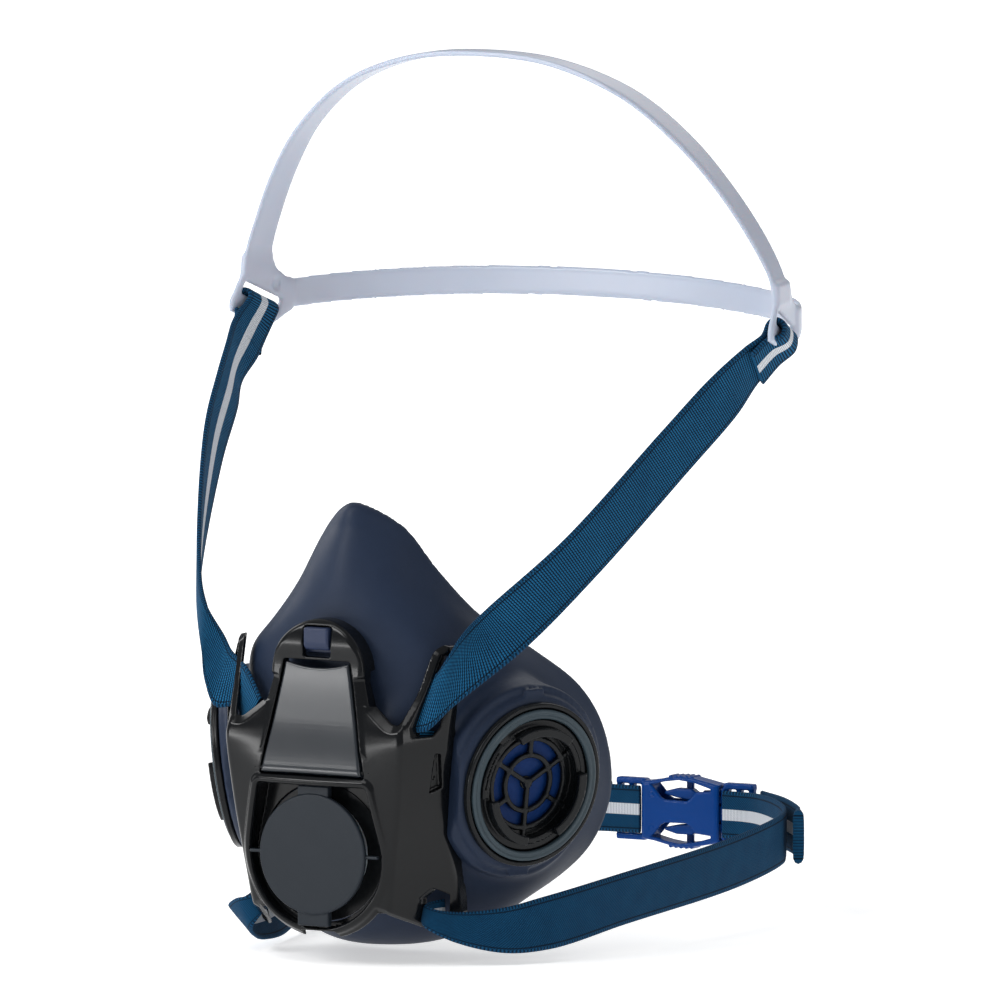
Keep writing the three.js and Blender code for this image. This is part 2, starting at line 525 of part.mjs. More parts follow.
function makeButton() {
  const { halfWidth, bottom, top, front, shoulder, back } = BUTTON;
  const cap = box(-halfWidth, halfWidth, front, shoulder + 0.1, bottom, top);
  const chamfer = box(-halfWidth - 1, halfWidth + 1, -1, 1, -1.5, 1.5).rotate([40, 0, 0]).translate([0, front - 0.5, bottom - 0.4]);
  const shoulderPlate = box(-halfWidth - 1.2, halfWidth + 1.2, shoulder, back, bottom - 1, top - 1.1);
  return union(cap.subtract(chamfer), shoulderPlate);
}

// A bowed leaf between the frame and the button.
function makeSpring() {
  const { halfLength, width, thickness, z, front, back } = SPRING;
  const stations = [-1, -0.6, 0, 0.6, 1].map((t) => [t * halfLength, front + (back - front) * t * t, z, 0, -1, 0]);
  return solid(ribbon(stations, { width, thickness, steps: 3 }));
}

// ---------------------------------------------------------------- exhaust valve

function makeExhaustCover() {
  const disc = ringY(0, EXHAUST_Z, DISC.front, DISC.back, DISC_RADIUS, 0, 48);
  const tab = (z0, z1, y0, y1) => box(-DISC_TAB_HALF, DISC_TAB_HALF, y0, y1, z0, z1);
  const side = (x0, x1) => box(x0, x1, DISC.back - 0.6, DISC.back + 0.8, EXHAUST_Z - 0.5, EXHAUST_Z + 0.5);
  const reach = CAVITY_RADIUS - GAP;
  return union(
    disc,
    tab(EXHAUST_Z + 14, CAVITY_TOP.z - GAP, DISC.back - 1, DISC.back + 1.2),
    tab(EXHAUST_Z - 20.4, EXHAUST_Z - 14, DISC.back - 1, DISC.back + 1.2),
    side(-reach, -DISC_RADIUS + 1),
    side(DISC_RADIUS - 1, reach),
    ringY(0, EXHAUST_Z, DISC.back - 0.2, DISC.back + 2.2, 4, 2.6, 24),
  );
}

function makeExhaustSeat() {
  const { front, back, outer, barrel, wall, flangeBack } = SEAT;
  const at = new THREE.Matrix4().makeTranslation(0, 0, EXHAUST_Z);
  const inner = barrel - wall;
  const body = turned([[inner, front], [outer, front], [outer, flangeBack], [barrel, flangeBack], [barrel, back], [inner, back]], 40, at);
  const spokes = [0, 60, 120].map((a) =>
    box(-inner - 0.4, inner + 0.4, front + 0.4, front + 1.6, -0.7, 0.7).rotate([0, a, 0]).translate([0, 0, EXHAUST_Z]));
  return union(body, ...spokes, ringY(0, EXHAUST_Z, -82.4, front + 1.6, 1.1, 0, 16), ringY(0, EXHAUST_Z, -82.4, -81.8, 2, 0, 16));
}

function makeExhaustFlap() {
  return ringY(0, EXHAUST_Z, EXHAUST_FLAP.front, EXHAUST_FLAP.back, EXHAUST_FLAP.radius, 1.5, 36);
}

// ---------------------------------------------------------------- head cradle and straps

// The corner's own frame: +X looks out from the head, +Y goes back, and its origin is above the strap's bar.
function cornerMatrix() {
  return new THREE.Matrix4().makeRotationZ(CORNER_TURN).setPosition(CORNER_AT[0], CORNER_AT[1], 0);
}

function makeCradle() {
  const both = (half) => [...half.map(([x, y, z, nx, ny, nz]) => [-x, y, z, -nx, ny, nz]), ...half.slice(0, -1).reverse()];
  const crown = ribbon(both(CROWN), { width: CROWN_WIDTH, thickness: CRADLE_THICKNESS, steps: 3 });
  const band = ribbon(both(BAND), { width: BAND_WIDTH, thickness: CRADLE_THICKNESS, steps: 3 });
  const half = CRADLE_THICKNESS / 2 + 0.1;
  const plate = prismYZ(shapeOf(CORNER), -half, half).subtract(prismYZ(shapeOf(CORNER_SLOT), -5, 5));
  const corner = plate.transform(cornerMatrix().elements);
  return union(solid(crown), solid(band), corner, mirrored(corner));
}

// The top of an upper strap: it goes up inside the corner bar, over it and down outside, and is sewn to itself.
function strapLoop(side) {
  const radius = 2.7;
  const slope = new THREE.Vector2(CORNER_SLOT[2][0] - CORNER_SLOT[1][0], CORNER_SLOT[2][1] - CORNER_SLOT[1][1]).normalize();
  const up = new THREE.Vector3(0, -slope.y, slope.x);
  const out = new THREE.Vector3(1, 0, 0);
  const centre = new THREE.Vector3(0, CORNER_BAR.back, CORNER_BAR.z);
  const stations = [];
  const push = (along, across, n) => {
    const p = centre.clone().addScaledVector(up, along).addScaledVector(out, across);
    stations.push([...p.toArray(), ...n.toArray()]);
  };
  for (const along of [-9, -5]) push(along, -radius * (along === -5 ? 0.95 : 0.6), out);
  for (let a = 0; a <= 180; a += 30) {
    const t = THREE.MathUtils.degToRad(a);
    const n = out.clone().multiplyScalar(Math.cos(t)).addScaledVector(up, -Math.sin(t));
    push(Math.sin(t) * radius, -Math.cos(t) * radius, n);
  }
  push(-5, radius * 0.95, out.clone().negate());
  push(-10, radius * 0.75, out.clone().negate());
  const loop = solid(ribbon(stations, { steps: 2, width: UPPER_STRAP_WIDTH * 0.9 })).transform(cornerMatrix().elements);
  return side > 0 ? loop : mirrored(loop);
}

// The webbing between a wing's two slots, laid along the wing's inner surface.
function makeStrapRun() {
  const stations = RUN.heights.map((z) => {
    const [rx, ry] = lookUp(RIDGE_S, z);
    const [ex, ey] = lookUp(REAR_S, z);
    const size = Math.hypot(ex - rx, ey - ry);
    const [nx, ny] = [(ey - ry) / size, -(ex - rx) / size];
    const depth = FRAME_WALL + 2 * GAP + STRAP_THICKNESS / 2;
    return [rx + (ex - rx) * RUN.across - nx * depth, ry + (ey - ry) * RUN.across - ny * depth, z, nx, ny, 0];
  });
  return solid(ribbon(stations, { width: RUN.width, steps: 2 }));
}

function makeUpperStrap(stations, side) {
  const pinch = (t) => 0.3 + 0.7 * Math.min(1, t * 4.5);
  return union(solid(ribbon(stations, { pinch, width: UPPER_STRAP_WIDTH })), strapLoop(side));
}

// Webbing is gathered a little where it goes through a slot or a buckle.
const slotPinch = (t) => Math.min(0.45 + 5 * t, 1, 1.1 - Math.max(0, (t - 0.9) * 3));

// A strap's free end, folded over twice and sewn so that it can't slip back through the buckle.
function makeFreeEnd(stations) {
  const [x, y, z, ...n] = stations[stations.length - 1];
  const [px, py, pz] = stations[stations.length - 2];
  const along = V([x - px, y - py, z - pz]).normalize().multiplyScalar(4.5);
  const hem = ribbon([[x, y, z, ...n], [x + along.x, y + along.y, z + along.z, ...n]], { thickness: 3.2, steps: 1, width: STRAP_WIDTH + 0.4 });
  return union(solid(ribbon(stations, {})), solid(hem));
}

// ---------------------------------------------------------------- buckle

// Moves a solid from the buckle's own frame, where +X is the way the plug pulls out and +Z is up, to the nape.
function buckleSolid(made) {
  const m = new THREE.Matrix4().makeRotationZ(BUCKLE_TURN).setPosition(...BUCKLE_CENTRE);
  return made.transform(m.elements);
}

// A frame of bars that the strap threads round, from x0 to x1.
function ladder(x0, x1) {
  const half = BUCKLE_HALF_HEIGHT;
  const middle = (x0 + x1) / 2;
  return union(
    box(x0, x1, -1.6, 1.6, half - 1, half + 1),
    box(x0, x1, -1.6, 1.6, -half - 1, -half + 1),
    ...[x0, middle - 0.8, x1 - 1.6].map((x) => box(x, x + 1.6, -1.3, 1.3, -half, half)),
  );
}

function makeBuckleSocket() {
  const half = BUCKLE_HALF_HEIGHT;
  const depth = BUCKLE_HALF_DEPTH;
  const outline = shapeOf([
    [-13, -half - 0.6], [-9, -half - 1], [-2, -half - 2.6], [3, -half - 2.6], [12, -half - 0.6],
    [12, half + 0.6], [3, half + 2.6], [-2, half + 2.6], [-9, half + 1], [-13, half + 0.6],
  ]);
  const mouth = box(-9.5, 20, -depth + 1, depth - 1, -half + 0.4, half - 0.4);
  const window = shapeOf([[-9.5, 5.9], [-6, 4.6], [-3.4, 3.6], [1.8, 3.6], [4, 6.6], [9.5, 6.8], [9.5, half - 0.4], [3, half + 1.4], [-2, half + 1.4], [-9.5, half]]);
  const opening = prismXZ(window, -10, 10);
  const body = prismXZ(outline, -depth, depth).subtract(mouth).subtract(opening).subtract(opening.mirror([0, 0, 1]));
  return union(body, ladder(-22, -12.4));
}

function makeBucklePlug() {
  const guide = union(box(-6.5, 13.2, -1.5, 1.5, -2.4, 2.4), box(12.4, 13.4, -2, 2, -8.3, 8.3));
  return union(guide, ladder(12.8, 22.4));
}

// One of the plug's two sprung arms; the barb at its end catches behind the socket's window.
function makeLatchArm() {
  const arm = shapeOf([[12.1, 3.2], [12.1, 5.6], [4.4, 5.9], [2.6, 7.6], [-2.6, 7.6], [-6.4, 6.4], [-6.4, 5.2], [-2, 4.2], [4, 3.4]]);
  return prismXZ(arm, -1.5, 1.5);
}

// ---------------------------------------------------------------- assembly

const FINISH = {
  face_rubber: [0x2b3140, 0.55, 0],
  frame_plastic: [0x2c2d30, 0.22, 0],
  satin_plastic: [0x4a4e54, 0.42, 0],
  navy_rubber: [0x262f45, 0.5, 0],
  port_plastic: [0x303133, 0.38, 0],
  gasket_rubber: [0x4c5b63, 0.5, 0],
  flap_blue: [0x14327a, 0.5, 0],
  flap_clear: [0xb9c2c9, 0.4, 0],
  cradle_plastic: [0xaeb6c4, 0.4, 0],
  webbing: [0x1a4a78, 0.85, 0],
  buckle_blue: [0x164aa6, 0.35, 0],
  steel: [0xb0b2b4, 0.3, 1],
};
const group = new THREE.Group();

function add(name, finish, made) {
  const [color, roughness, metalness] = FINISH[finish];
  const mesh = new THREE.Mesh(geometryOf(made), new THREE.MeshStandardMaterial({ color, roughness, metalness }));
  mesh.name = name;
  group.add(mesh);
}

function addPair(name, finish, made) {
  add(name + "_right", finish, made);
  add(name + "_left", finish, mirrored(made));
}

add("facepiece", "face_rubber", makeFacepiece());
add("front_frame", "frame_plastic", makeFrontFrame());
add("front_cover", "satin_plastic", makeFrontCover());
add("cover_hinge_pin", "steel", hingeHole(HINGE.radius, HINGE.halfLength));
add("release_button", "navy_rubber", makeButton());
add("button_spring", "steel", makeSpring());
add("exhaust_cover", "satin_plastic", makeExhaustCover());
add("exhaust_valve_seat", "port_plastic", makeExhaustSeat());
add("exhaust_flap", "flap_clear", makeExhaustFlap());

add("inlet_port_right", "port_plastic", portSolid(makeInletPort(LUG_ANGLES.right)));
add("inlet_port_left", "port_plastic", mirrored(portSolid(makeInletPort(LUG_ANGLES.left))));
addPair("port_gasket", "gasket_rubber", portSolid(makeGasket()));
addPair("port_locking_ring", "port_plastic", portSolid(makePortRing()));
addPair("inlet_flap", "flap_blue", portSolid(makeInletFlap()));

add("head_cradle", "cradle_plastic", makeCradle());
add("upper_strap_right", "webbing", makeUpperStrap(UPPER_RIGHT, 1));
add("upper_strap_left", "webbing", makeUpperStrap(UPPER_LEFT, -1));
addPair("strap_run", "webbing", makeStrapRun());
add("neck_strap_right", "webbing", solid(ribbon(NECK_RIGHT, { pinch: slotPinch })));
add("neck_strap_left", "webbing", solid(ribbon(NECK_LEFT, { pinch: slotPinch })));
add("strap_end_right", "webbing", makeFreeEnd(FREE_END_RIGHT));
add("strap_end_left", "webbing", makeFreeEnd(FREE_END_LEFT));

add("buckle_socket", "buckle_blue", buckleSolid(makeBuckleSocket()));
add("buckle_plug", "buckle_blue", buckleSolid(makeBucklePlug()));
add("latch_arm_upper", "buckle_blue", buckleSolid(makeLatchArm()));
add("latch_arm_lower", "buckle_blue", buckleSolid(makeLatchArm().mirror([0, 0, 1])));

export default group;
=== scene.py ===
# Half-mask respirator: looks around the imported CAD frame.
# Shapes are worked out in millimetres in the CAD's frame (+Z up, front towards -Y) and scaled by MM.
import math
from functools import reduce

import bpy
import numpy as np
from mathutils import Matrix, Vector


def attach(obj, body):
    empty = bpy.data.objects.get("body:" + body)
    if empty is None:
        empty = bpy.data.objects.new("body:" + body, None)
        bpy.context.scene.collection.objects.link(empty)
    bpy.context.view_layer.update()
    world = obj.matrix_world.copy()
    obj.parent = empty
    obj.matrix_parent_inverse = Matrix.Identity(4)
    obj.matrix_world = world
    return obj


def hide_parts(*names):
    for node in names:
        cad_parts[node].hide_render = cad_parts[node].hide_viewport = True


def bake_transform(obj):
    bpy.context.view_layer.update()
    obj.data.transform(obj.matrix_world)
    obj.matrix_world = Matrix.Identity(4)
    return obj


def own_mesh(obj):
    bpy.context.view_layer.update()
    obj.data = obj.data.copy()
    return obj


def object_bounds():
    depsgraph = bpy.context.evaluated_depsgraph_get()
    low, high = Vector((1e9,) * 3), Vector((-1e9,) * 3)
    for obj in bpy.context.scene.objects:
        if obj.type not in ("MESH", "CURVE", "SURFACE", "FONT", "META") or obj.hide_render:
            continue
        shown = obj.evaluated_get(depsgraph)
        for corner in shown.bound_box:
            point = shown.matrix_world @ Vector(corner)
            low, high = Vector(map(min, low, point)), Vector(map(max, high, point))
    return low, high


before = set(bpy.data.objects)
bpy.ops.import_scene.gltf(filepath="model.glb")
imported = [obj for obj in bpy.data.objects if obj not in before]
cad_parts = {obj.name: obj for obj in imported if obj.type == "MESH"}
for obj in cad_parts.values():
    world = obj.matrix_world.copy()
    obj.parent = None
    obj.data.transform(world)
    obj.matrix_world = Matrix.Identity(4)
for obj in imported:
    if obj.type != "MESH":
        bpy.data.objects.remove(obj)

import openvdb
from mathutils import Vector

MM = 0.001
CAD_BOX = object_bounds()

# Steps of the lattices that shapes are worked out on, in millimetres.
SHELL_VOXEL = 0.42
PLATE_VOXEL = 0.35
BUCKLE_VOXEL = 0.32
FACE_VOXEL = 0.66
CRADLE_VOXEL = 0.5

SIDES = {"right": 1, "left": -1}

# ---- dimensions shared with the CAD

FRAME_WALL = 2.2
RIDGE = [
    [-56, 18.5, -77.5], [-46, 22, -80], [-37, 23.6, -81], [-28, 25, -81.9], [-18, 26.5, -82.8],
    [-11, 27.3, -83.4], [-2, 28.1, -84.2], [3, 28.4, -84.2], [7, 27.8, -83.4], [16, 28.8, -78.5],
    [29, 31.5, -71.5],
]
REAR_EDGE = [
    [-56, 30, -59.5], [-47, 33.3, -58], [-35, 32.8, -61.5], [-24, 32.6, -65.5], [-11, 33.9, -69],
    [0, 35.8, -70], [12, 36.6, -69.5], [29, 34.5, -66.5],
]
FACE_LINE = [
    [-56, -79.5], [-46, -83.2], [-37, -84.4], [-20, -86], [-8, -86.1], [8, -83.8], [23, -82.3], [30, -82.4],
    [35, -81.1], [38, -78.4],
]
ARCH_CENTRE_Z = 21.3
ARCH_RADIUS = 15
ARCH_BACK = -75
LEG_BACK = -77.4
LEG_FOOT = (18.4, 6)
VALLEY = [
    (18.4, 12.5), (21.5, 10), (24.6, 7.8), (26.4, 8), (27.8, 11.5), (29.3, 17.5), (30.2, 24), (31.1, 28),
    (32.4, 29.4),
]
WING_OUTLINE = [
    (34, 29), (35.1, 26), (35.9, 22), (36.6, 12), (35.8, 0), (33.9, -11), (32.6, -24), (32.8, -35),
    (33.3, -47), (32.4, -53.2), (30, -54.2), (25, -50.5), (20.5, -46.2),
]
COVER_TOP = (10.3, 24.2)
COVER_BOTTOM = (16.3, -7.2)
COVER_DIP = 1.6
COVER_SEAM = 0.6
COVER_THICKNESS = 1.8
RECESS_BACK = -79.2
WINDOW_BACK = -77.2
WINDOW_Z = 30
CHIN_SLOT_Z = -53.3
HINGE = (-84.5, -6.1)
EXHAUST_Z = -30
CAVITY_TOP = (17.8, -10.4)
CAVITY_RADIUS = 21.2
CAVITY_BACK = -78.6
CAVITY_ROUNDING = 1.2
CAVITY_OPENING = 19.7
CHIN_RADIUS = 24.4
UPPER_SLOT = [
    (30.7, 4.6), (30.1, 7), (31.3, 14.8), (32.5, 21.5), (33.3, 26.4), (34, 26.2), (34.5, 21), (34.8, 13),
    (34.2, 7), (33, 4.6),
]
LOWER_SLOT = [(26.6, -50.5), (27.6, -42.5), (29.3, -40.2), (31.2, -42), (30.6, -49.5), (28.8, -52)]

PORT_CENTRE = np.array([48.1, -45.8, -11])
PORT_AZIMUTH = math.radians(68)
PORT_DIP = math.radians(8)
PAD_RADIUS = 25.5
PAD_DEPTH = 13
BORE_DEPTH = 20
BARREL_RADIUS = 17
BARREL_INSIDE = 15.5
LUG_ANGLES = {"right": (47, 155, 265), "left": (25, 132, 265)}
LUG_SPAN = 70
FLANGE_INSIDE = 16.6
FLANGE_RADIUS = 23.6
GRID_BACK = -1.6
GRID_FRONT = -0.2
GRID_MIDDLE = -0.9

FACE_WALL = 2.4
FACE_RINGS = [
    [
        [0, -72.5, 33], [6, -73, 31], [11, -73.2, 27], [15, -73.8, 21], [18, -74.4, 14], [20.5, -77, 7],
        [22, -77, 0], [22, -77, -9], [20.3, -76, -21], [18.3, -75, -36], [14.5, -72.5, -44],
        [8.5, -70.5, -48.5], [0, -70, -50],
    ],
    [
        [0, -71, 45], [8, -70, 42.5], [16, -68.5, 37], [24, -67, 31], [30.5, -66, 24.5], [32, -66, 14],
        [33, -65.5, 4], [31.5, -65, -8], [29.3, -63.5, -20], [25.3, -61.5, -37], [20.5, -60.5, -48],
        [12, -60, -54.5], [0, -60, -57],
    ],
    [
        [0, -66.5, 58.5], [10.5, -62.5, 55], [20, -58.5, 44], [30, -53, 33.5], [37, -48, 25.5],
        [42.5, -42, 15], [46, -37, 5], [48.4, -34, -8], [48.4, -34, -20], [44, -35, -37], [33, -40, -50],
        [18, -44, -57.5], [0, -46, -59.5],
    ],
    [
        [0, -59.8, 69.6], [12, -53, 62.8], [20.8, -47.2, 48.8], [28.5, -38.7, 36], [37, -23, 25],
        [43.7, -9, 14], [47.6, -2.6, 3], [49.6, 0, -11], [48.9, -0.5, -21.5], [44.5, -5, -34],
        [34.5, -15, -45], [18, -28, -55], [0, -35, -58.5],
    ],
]

# ---- curves


def catmull(rows, steps, closed=False, dims=3):
    """Rows along a smooth curve through the given ones; the first dims columns set its pace."""
    p = np.array(rows, float)
    if closed:
        ext = np.vstack([p[-1], p, p[0], p[1]])
    else:
        ext = np.vstack([2 * p[0] - p[1], p, 2 * p[-1] - p[-2]])
    spans = len(p) if closed else len(p) - 1
    out = []
    for i in range(spans):
        p0, p1, p2, p3 = ext[i : i + 4]
        gap = [max(1e-4, np.linalg.norm((b - a)[:dims])) ** 0.5 for a, b in ((p0, p1), (p1, p2), (p2, p3))]
        t0, t1 = 0, gap[0]
        t2 = t1 + gap[1]
        t3 = t2 + gap[2]
        t = np.linspace(t1, t2, steps, endpoint=False)[:, None]
        a1 = p0 + (p1 - p0) * (t - t0) / (t1 - t0)
        a2 = p1 + (p2 - p1) * (t - t1) / (t2 - t1)
        a3 = p2 + (p3 - p2) * (t - t2) / (t3 - t2)
        b1 = a1 + (a2 - a1) * (t - t0) / (t2 - t0)
        b2 = a2 + (a3 - a2) * (t - t1) / (t3 - t1)
        out.append(b1 + (b2 - b1) * (t - t1) / (t2 - t1))
    if not closed:
        out.append(p[-1:])
    return np.vstack(out)


def table(rows):
    """A function of z that reads the other columns off a smooth curve through the rows."""
    dense = catmull(rows, 12, dims=len(rows[0]))
    return [lambda z, c=c: np.interp(z, dense[:, 0], dense[:, c]) for c in range(1, dense.shape[1])]


ridge_x, ridge_y = table(RIDGE)
rear_x, rear_y = table(REAR_EDGE)
(face_y,) = table(FACE_LINE)


def unit(v):
    """Vectors scaled to a length of 1."""
    return v / np.maximum(1e-9, np.linalg.norm(v, axis=-1, keepdims=True))


# ---- fields: signed distances, negative inside


def smax(a, b, k):
    """The intersection of two fields, with its edge rounded over about k."""
    h = np.clip(0.5 + 0.5 * (a - b) / k, 0, 1)
    return b + (a - b) * h + k * h * (1 - h)


def smin(a, b, k):
    """The union of two fields, with a fillet of about k."""
    return -smax(-a, -b, k)


def meet(*fields):
    """The sharp intersection of fields."""
    return reduce(np.maximum, fields)


def join(*fields):
    """The sharp union of fields."""
    return reduce(np.minimum, fields)


def outline(points, x, z):
    """Distance from a closed outline drawn in X and Z."""
    near = np.full(np.broadcast_shapes(x.shape, z.shape), 1e9)
    inside = np.zeros(near.shape, bool)
    for (ax, az), (bx, bz) in zip(points, points[1:] + points[:1]):
        ex, ez = bx - ax, bz - az
        wx, wz = x - ax, z - az
        t = np.clip((wx * ex + wz * ez) / (ex * ex + ez * ez), 0, 1)
        near = np.minimum(near, (wx - ex * t) ** 2 + (wz - ez * t) ** 2)
        above, below, left = z >= az, z < bz, ex * wz > ez * wx
        inside ^= (above & below & left) | (~above & ~below & ~left)
    return np.where(inside, -1, 1) * np.sqrt(near)


def polyline(points, x, z):
    """Distance from an open line drawn in X and Z."""
    near = np.full(np.broadcast_shapes(x.shape, z.shape), 1e9)
    for (ax, az), (bx, bz) in zip(points, points[1:]):
        ex, ez = bx - ax, bz - az
        t = np.clip(((x - ax) * ex + (z - az) * ez) / (ex * ex + ez * ez), 0, 1)
        near = np.minimum(near, (x - ax - ex * t) ** 2 + (z - az - ez * t) ** 2)
    return np.sqrt(near)


def plate(a, b, half_a, half_b, r=0.3):
    """A rounded rectangle in two coordinates measured from its middle."""
    qa, qb = np.abs(a) - half_a + r, np.abs(b) - half_b + r
    return np.hypot(np.maximum(qa, 0), np.maximum(qb, 0)) + np.minimum(np.maximum(qa, qb), 0) - r


def block(x, y, z, low, high, r=0.3):
    """A rounded box between two corners."""
    q = [np.abs(v - (a + b) / 2) - (b - a) / 2 + r for v, a, b in zip((x, y, z), low, high)]
    out = np.sqrt(sum(np.maximum(v, 0) ** 2 for v in q))
    return out + np.minimum(meet(*q), 0) - r


def ring(r, y, inner, outer, y0, y1, edge=0.25):
    """A ring of rectangular section about the Y axis, where r is the distance from it."""
    return plate(r - (inner + outer) / 2, y - (y0 + y1) / 2, (outer - inner) / 2, (y1 - y0) / 2, edge)


# ---- meshes


def new_object(name, points, faces, normals=None):
    """A smooth mesh object from points in millimetres and faces that all have one number of corners."""
    faces = np.asarray(faces, np.int32)
    mesh = bpy.data.meshes.new(name)
    count, corners = faces.shape
    mesh.vertices.add(len(points))
    mesh.vertices.foreach_set("co", (np.asarray(points, float) * MM).astype(np.float32).ravel())
    mesh.loops.add(count * corners)
    mesh.loops.foreach_set("vertex_index", faces.ravel())
    mesh.polygons.add(count)
    mesh.polygons.foreach_set("loop_start", np.arange(0, count * corners, corners, dtype=np.int32))
    mesh.polygons.foreach_set("use_smooth", np.ones(count, bool))
    mesh.update(calc_edges=True)
    if normals is not None:
        mesh.normals_split_custom_set_from_vertices(normals)
    obj = bpy.data.objects.new(name, mesh)
    bpy.context.collection.objects.link(obj)
    return obj


def lattice(low, high, voxel):
    """The shape of a lattice between two corners, and the coordinates of its points."""
    shape = tuple(((high - low) / voxel).astype(int) + 1)
    x, y, z = np.ogrid[: shape[0], : shape[1], : shape[2]]
    return shape, x * voxel + low[0], y * voxel + low[1], z * voxel + low[2]


def contour(values, low, voxel):
    """The zero surface of a dense field, as points in millimetres and quads that face outwards."""
    grid = openvdb.FloatGrid(background=float(values.max()))
    grid.copyFromArray(np.ascontiguousarray(values, dtype=np.float32))
    points, quads = grid.convertToQuads(isovalue=0.0)
    return points * voxel + np.array(low), quads


def field_mesh(name, field, low, high, voxel, place=None):
    """Meshes a field between two corners, then moves the points on to its exact surface."""
    low = np.array(low, float)
    x, y, z = np.ogrid[[slice(0, int((b - a) / voxel) + 2) for a, b in zip(low, high)]]
    x, y, z = (v * voxel + a for v, a in zip((x, y, z), low))
    values = np.broadcast_to(field(x, y, z), np.broadcast_shapes(x.shape, y.shape, z.shape))
    points, quads = contour(values, low, voxel)
    step = 0.02
    wide = 0.12

    def at(offset):
        return field(*(points + offset).T)

    for _ in range(3):
        here = at(0)
        slope = np.stack([at(step * axis) - here for axis in np.eye(3)], 1) / step
        size = np.maximum(0.2, (slope**2).sum(1))
        points = points - np.clip(here / size, -voxel / 2, voxel / 2)[:, None] * slope
    normals = unit(np.stack([at(wide * axis) - at(-wide * axis) for axis in np.eye(3)], 1))
    if place is not None:
        turn, shift = place
        points, normals = points @ turn.T + shift, normals @ turn.T
        if np.linalg.det(turn) < 0:
            quads = quads[:, ::-1]
    return new_object(name, points, quads, normals)


def relax(points, quads, times):
    """Evens out a mesh: points go towards the middle of their neighbours, and every second time away."""
    edges = np.vstack([quads[:, [i, (i + 1) % 4]] for i in range(4)])
    edges = np.vstack([edges, edges[:, ::-1]])
    count = np.bincount(edges[:, 0], minlength=len(points)).astype(float)[:, None]
    for k in range(times):
        total = np.stack([np.bincount(edges[:, 0], points[edges[:, 1], c], len(points)) for c in range(3)], 1)
        points = points + (total / np.maximum(count, 1) - points) * (0.6 if k % 2 == 0 else -0.53)
    return points


def skin_rings(rings):
    """Joins rings of points, all of one length, into a tube of quads with closed ends."""
    rings = np.asarray(rings, float)
    count, n = rings.shape[:2]
    i = np.arange(n)
    j = (i + 1) % n
    k = np.arange(n // 2 - 1)
    quads = [np.stack([r * n + i, r * n + j, (r + 1) * n + j, (r + 1) * n + i], 1) for r in range(count - 1)]
    cap = np.stack([k, k + 1, n - 2 - k, n - 1 - k], 1)
    quads += [cap[:, ::-1], cap + (count - 1) * n]
    return rings.reshape(-1, 3), np.vstack(quads)


# ---- materials


def srgb(*values):
    """A colour from 0-255 display values, as linear light with alpha."""
    v = np.array(values) / 255
    return (*np.where(v <= 0.04045, v / 12.92, ((v + 0.055) / 1.055) ** 2.4), 1.0)


def tinted(colour, factor, lift=0.0):
    """A colour made darker or paler."""
    return (*(min(1, c * factor + lift) for c in colour[:3]), 1.0)


class Look:
    """A node material built up in code."""

    def __init__(self, name, roughness=0.4, **sockets):
        self.material = bpy.data.materials.new(name)
        self.material.use_nodes = True
        self.tree = self.material.node_tree
        self.shader = self.tree.nodes["Principled BSDF"]
        self.shader.inputs["Roughness"].default_value = roughness
        for key, value in sockets.items():
            self.shader.inputs[key.replace("_", " ")].default_value = value

    def node(self, kind, *inputs, out=0, **settings):
        """Adds a node; inputs are sockets or values in order, None to skip. Returns an output socket."""
        made = self.tree.nodes.new(kind)
        for key, value in settings.items():
            setattr(made, key, value)
        for place, value in enumerate(inputs):
            if value is None:
                continue
            if isinstance(value, bpy.types.NodeSocket):
                self.tree.links.new(value, made.inputs[place])
            else:
                made.inputs[place].default_value = value
        return made.outputs[out]

    def math(self, operation, a, b=0.0, c=0.0, clamp=False):
        return self.node("ShaderNodeMath", a, b, c, operation=operation, use_clamp=clamp)

    def mix(self, share, a, b):
        return self.node("ShaderNodeMix", share, *[None] * 5, a, b, out=2, data_type="RGBA")

    def noise(self, scale, detail=3.0):
        return self.node("ShaderNodeTexNoise", self.position(), None, scale, detail)

    def position(self):
        return self.node("ShaderNodeTexCoord", out=3)

    def uv(self):
        """The two UV coordinates, in millimetres across and along."""
        uv = self.node("ShaderNodeTexCoord", out=2)
        parts = [self.node("ShaderNodeSeparateXYZ", uv, out=k) for k in (0, 1)]
        return [self.math("MULTIPLY", part, 1000) for part in parts]

    def scaled(self, value, low, high):
        return self.node("ShaderNodeMapRange", value, 0.0, 1.0, low, high)

    def set(self, name, socket):
        self.tree.links.new(socket, self.shader.inputs[name])

    def bump(self, height, distance, strength=1.0, after=None):
        made = self.tree.nodes.new("ShaderNodeBump")
        made.inputs["Strength"].default_value = strength
        made.inputs["Distance"].default_value = distance
        self.tree.links.new(height, made.inputs["Height"])
        if after is not None:
            self.tree.links.new(after, made.inputs["Normal"])
        return made.outputs["Normal"]


GLOSS_SPREAD = 0.02
GRAIN_SCALE = 2500


def moulded(name, colour, roughness, mottle=0.12, grain=0.00002, specular=0.5, **sockets):
    """Moulded plastic or rubber: slightly uneven colour and gloss, a fine grain, and paler worn edges."""
    look = Look(name, roughness, Specular_IOR_Level=specular, **sockets)
    base = look.mix(look.noise(90, 4), tinted(colour, 1 - mottle), tinted(colour, 1 + mottle, 0.002))
    edge = look.node("ShaderNodeNewGeometry", out=7)
    worn = look.node("ShaderNodeMapRange", edge, 0.53, 0.62, 0.0, 0.35)
    worn = look.math("MULTIPLY", worn, look.noise(700, 4))
    rubbed = tinted(colour, 1.6, 0.02)
    look.set("Base Color", look.mix(worn, base, rubbed))
    look.set("Roughness", look.scaled(look.noise(120, 3), roughness - GLOSS_SPREAD, roughness + GLOSS_SPREAD))
    look.set("Normal", look.bump(look.noise(GRAIN_SCALE, 2), grain))
    return look.material


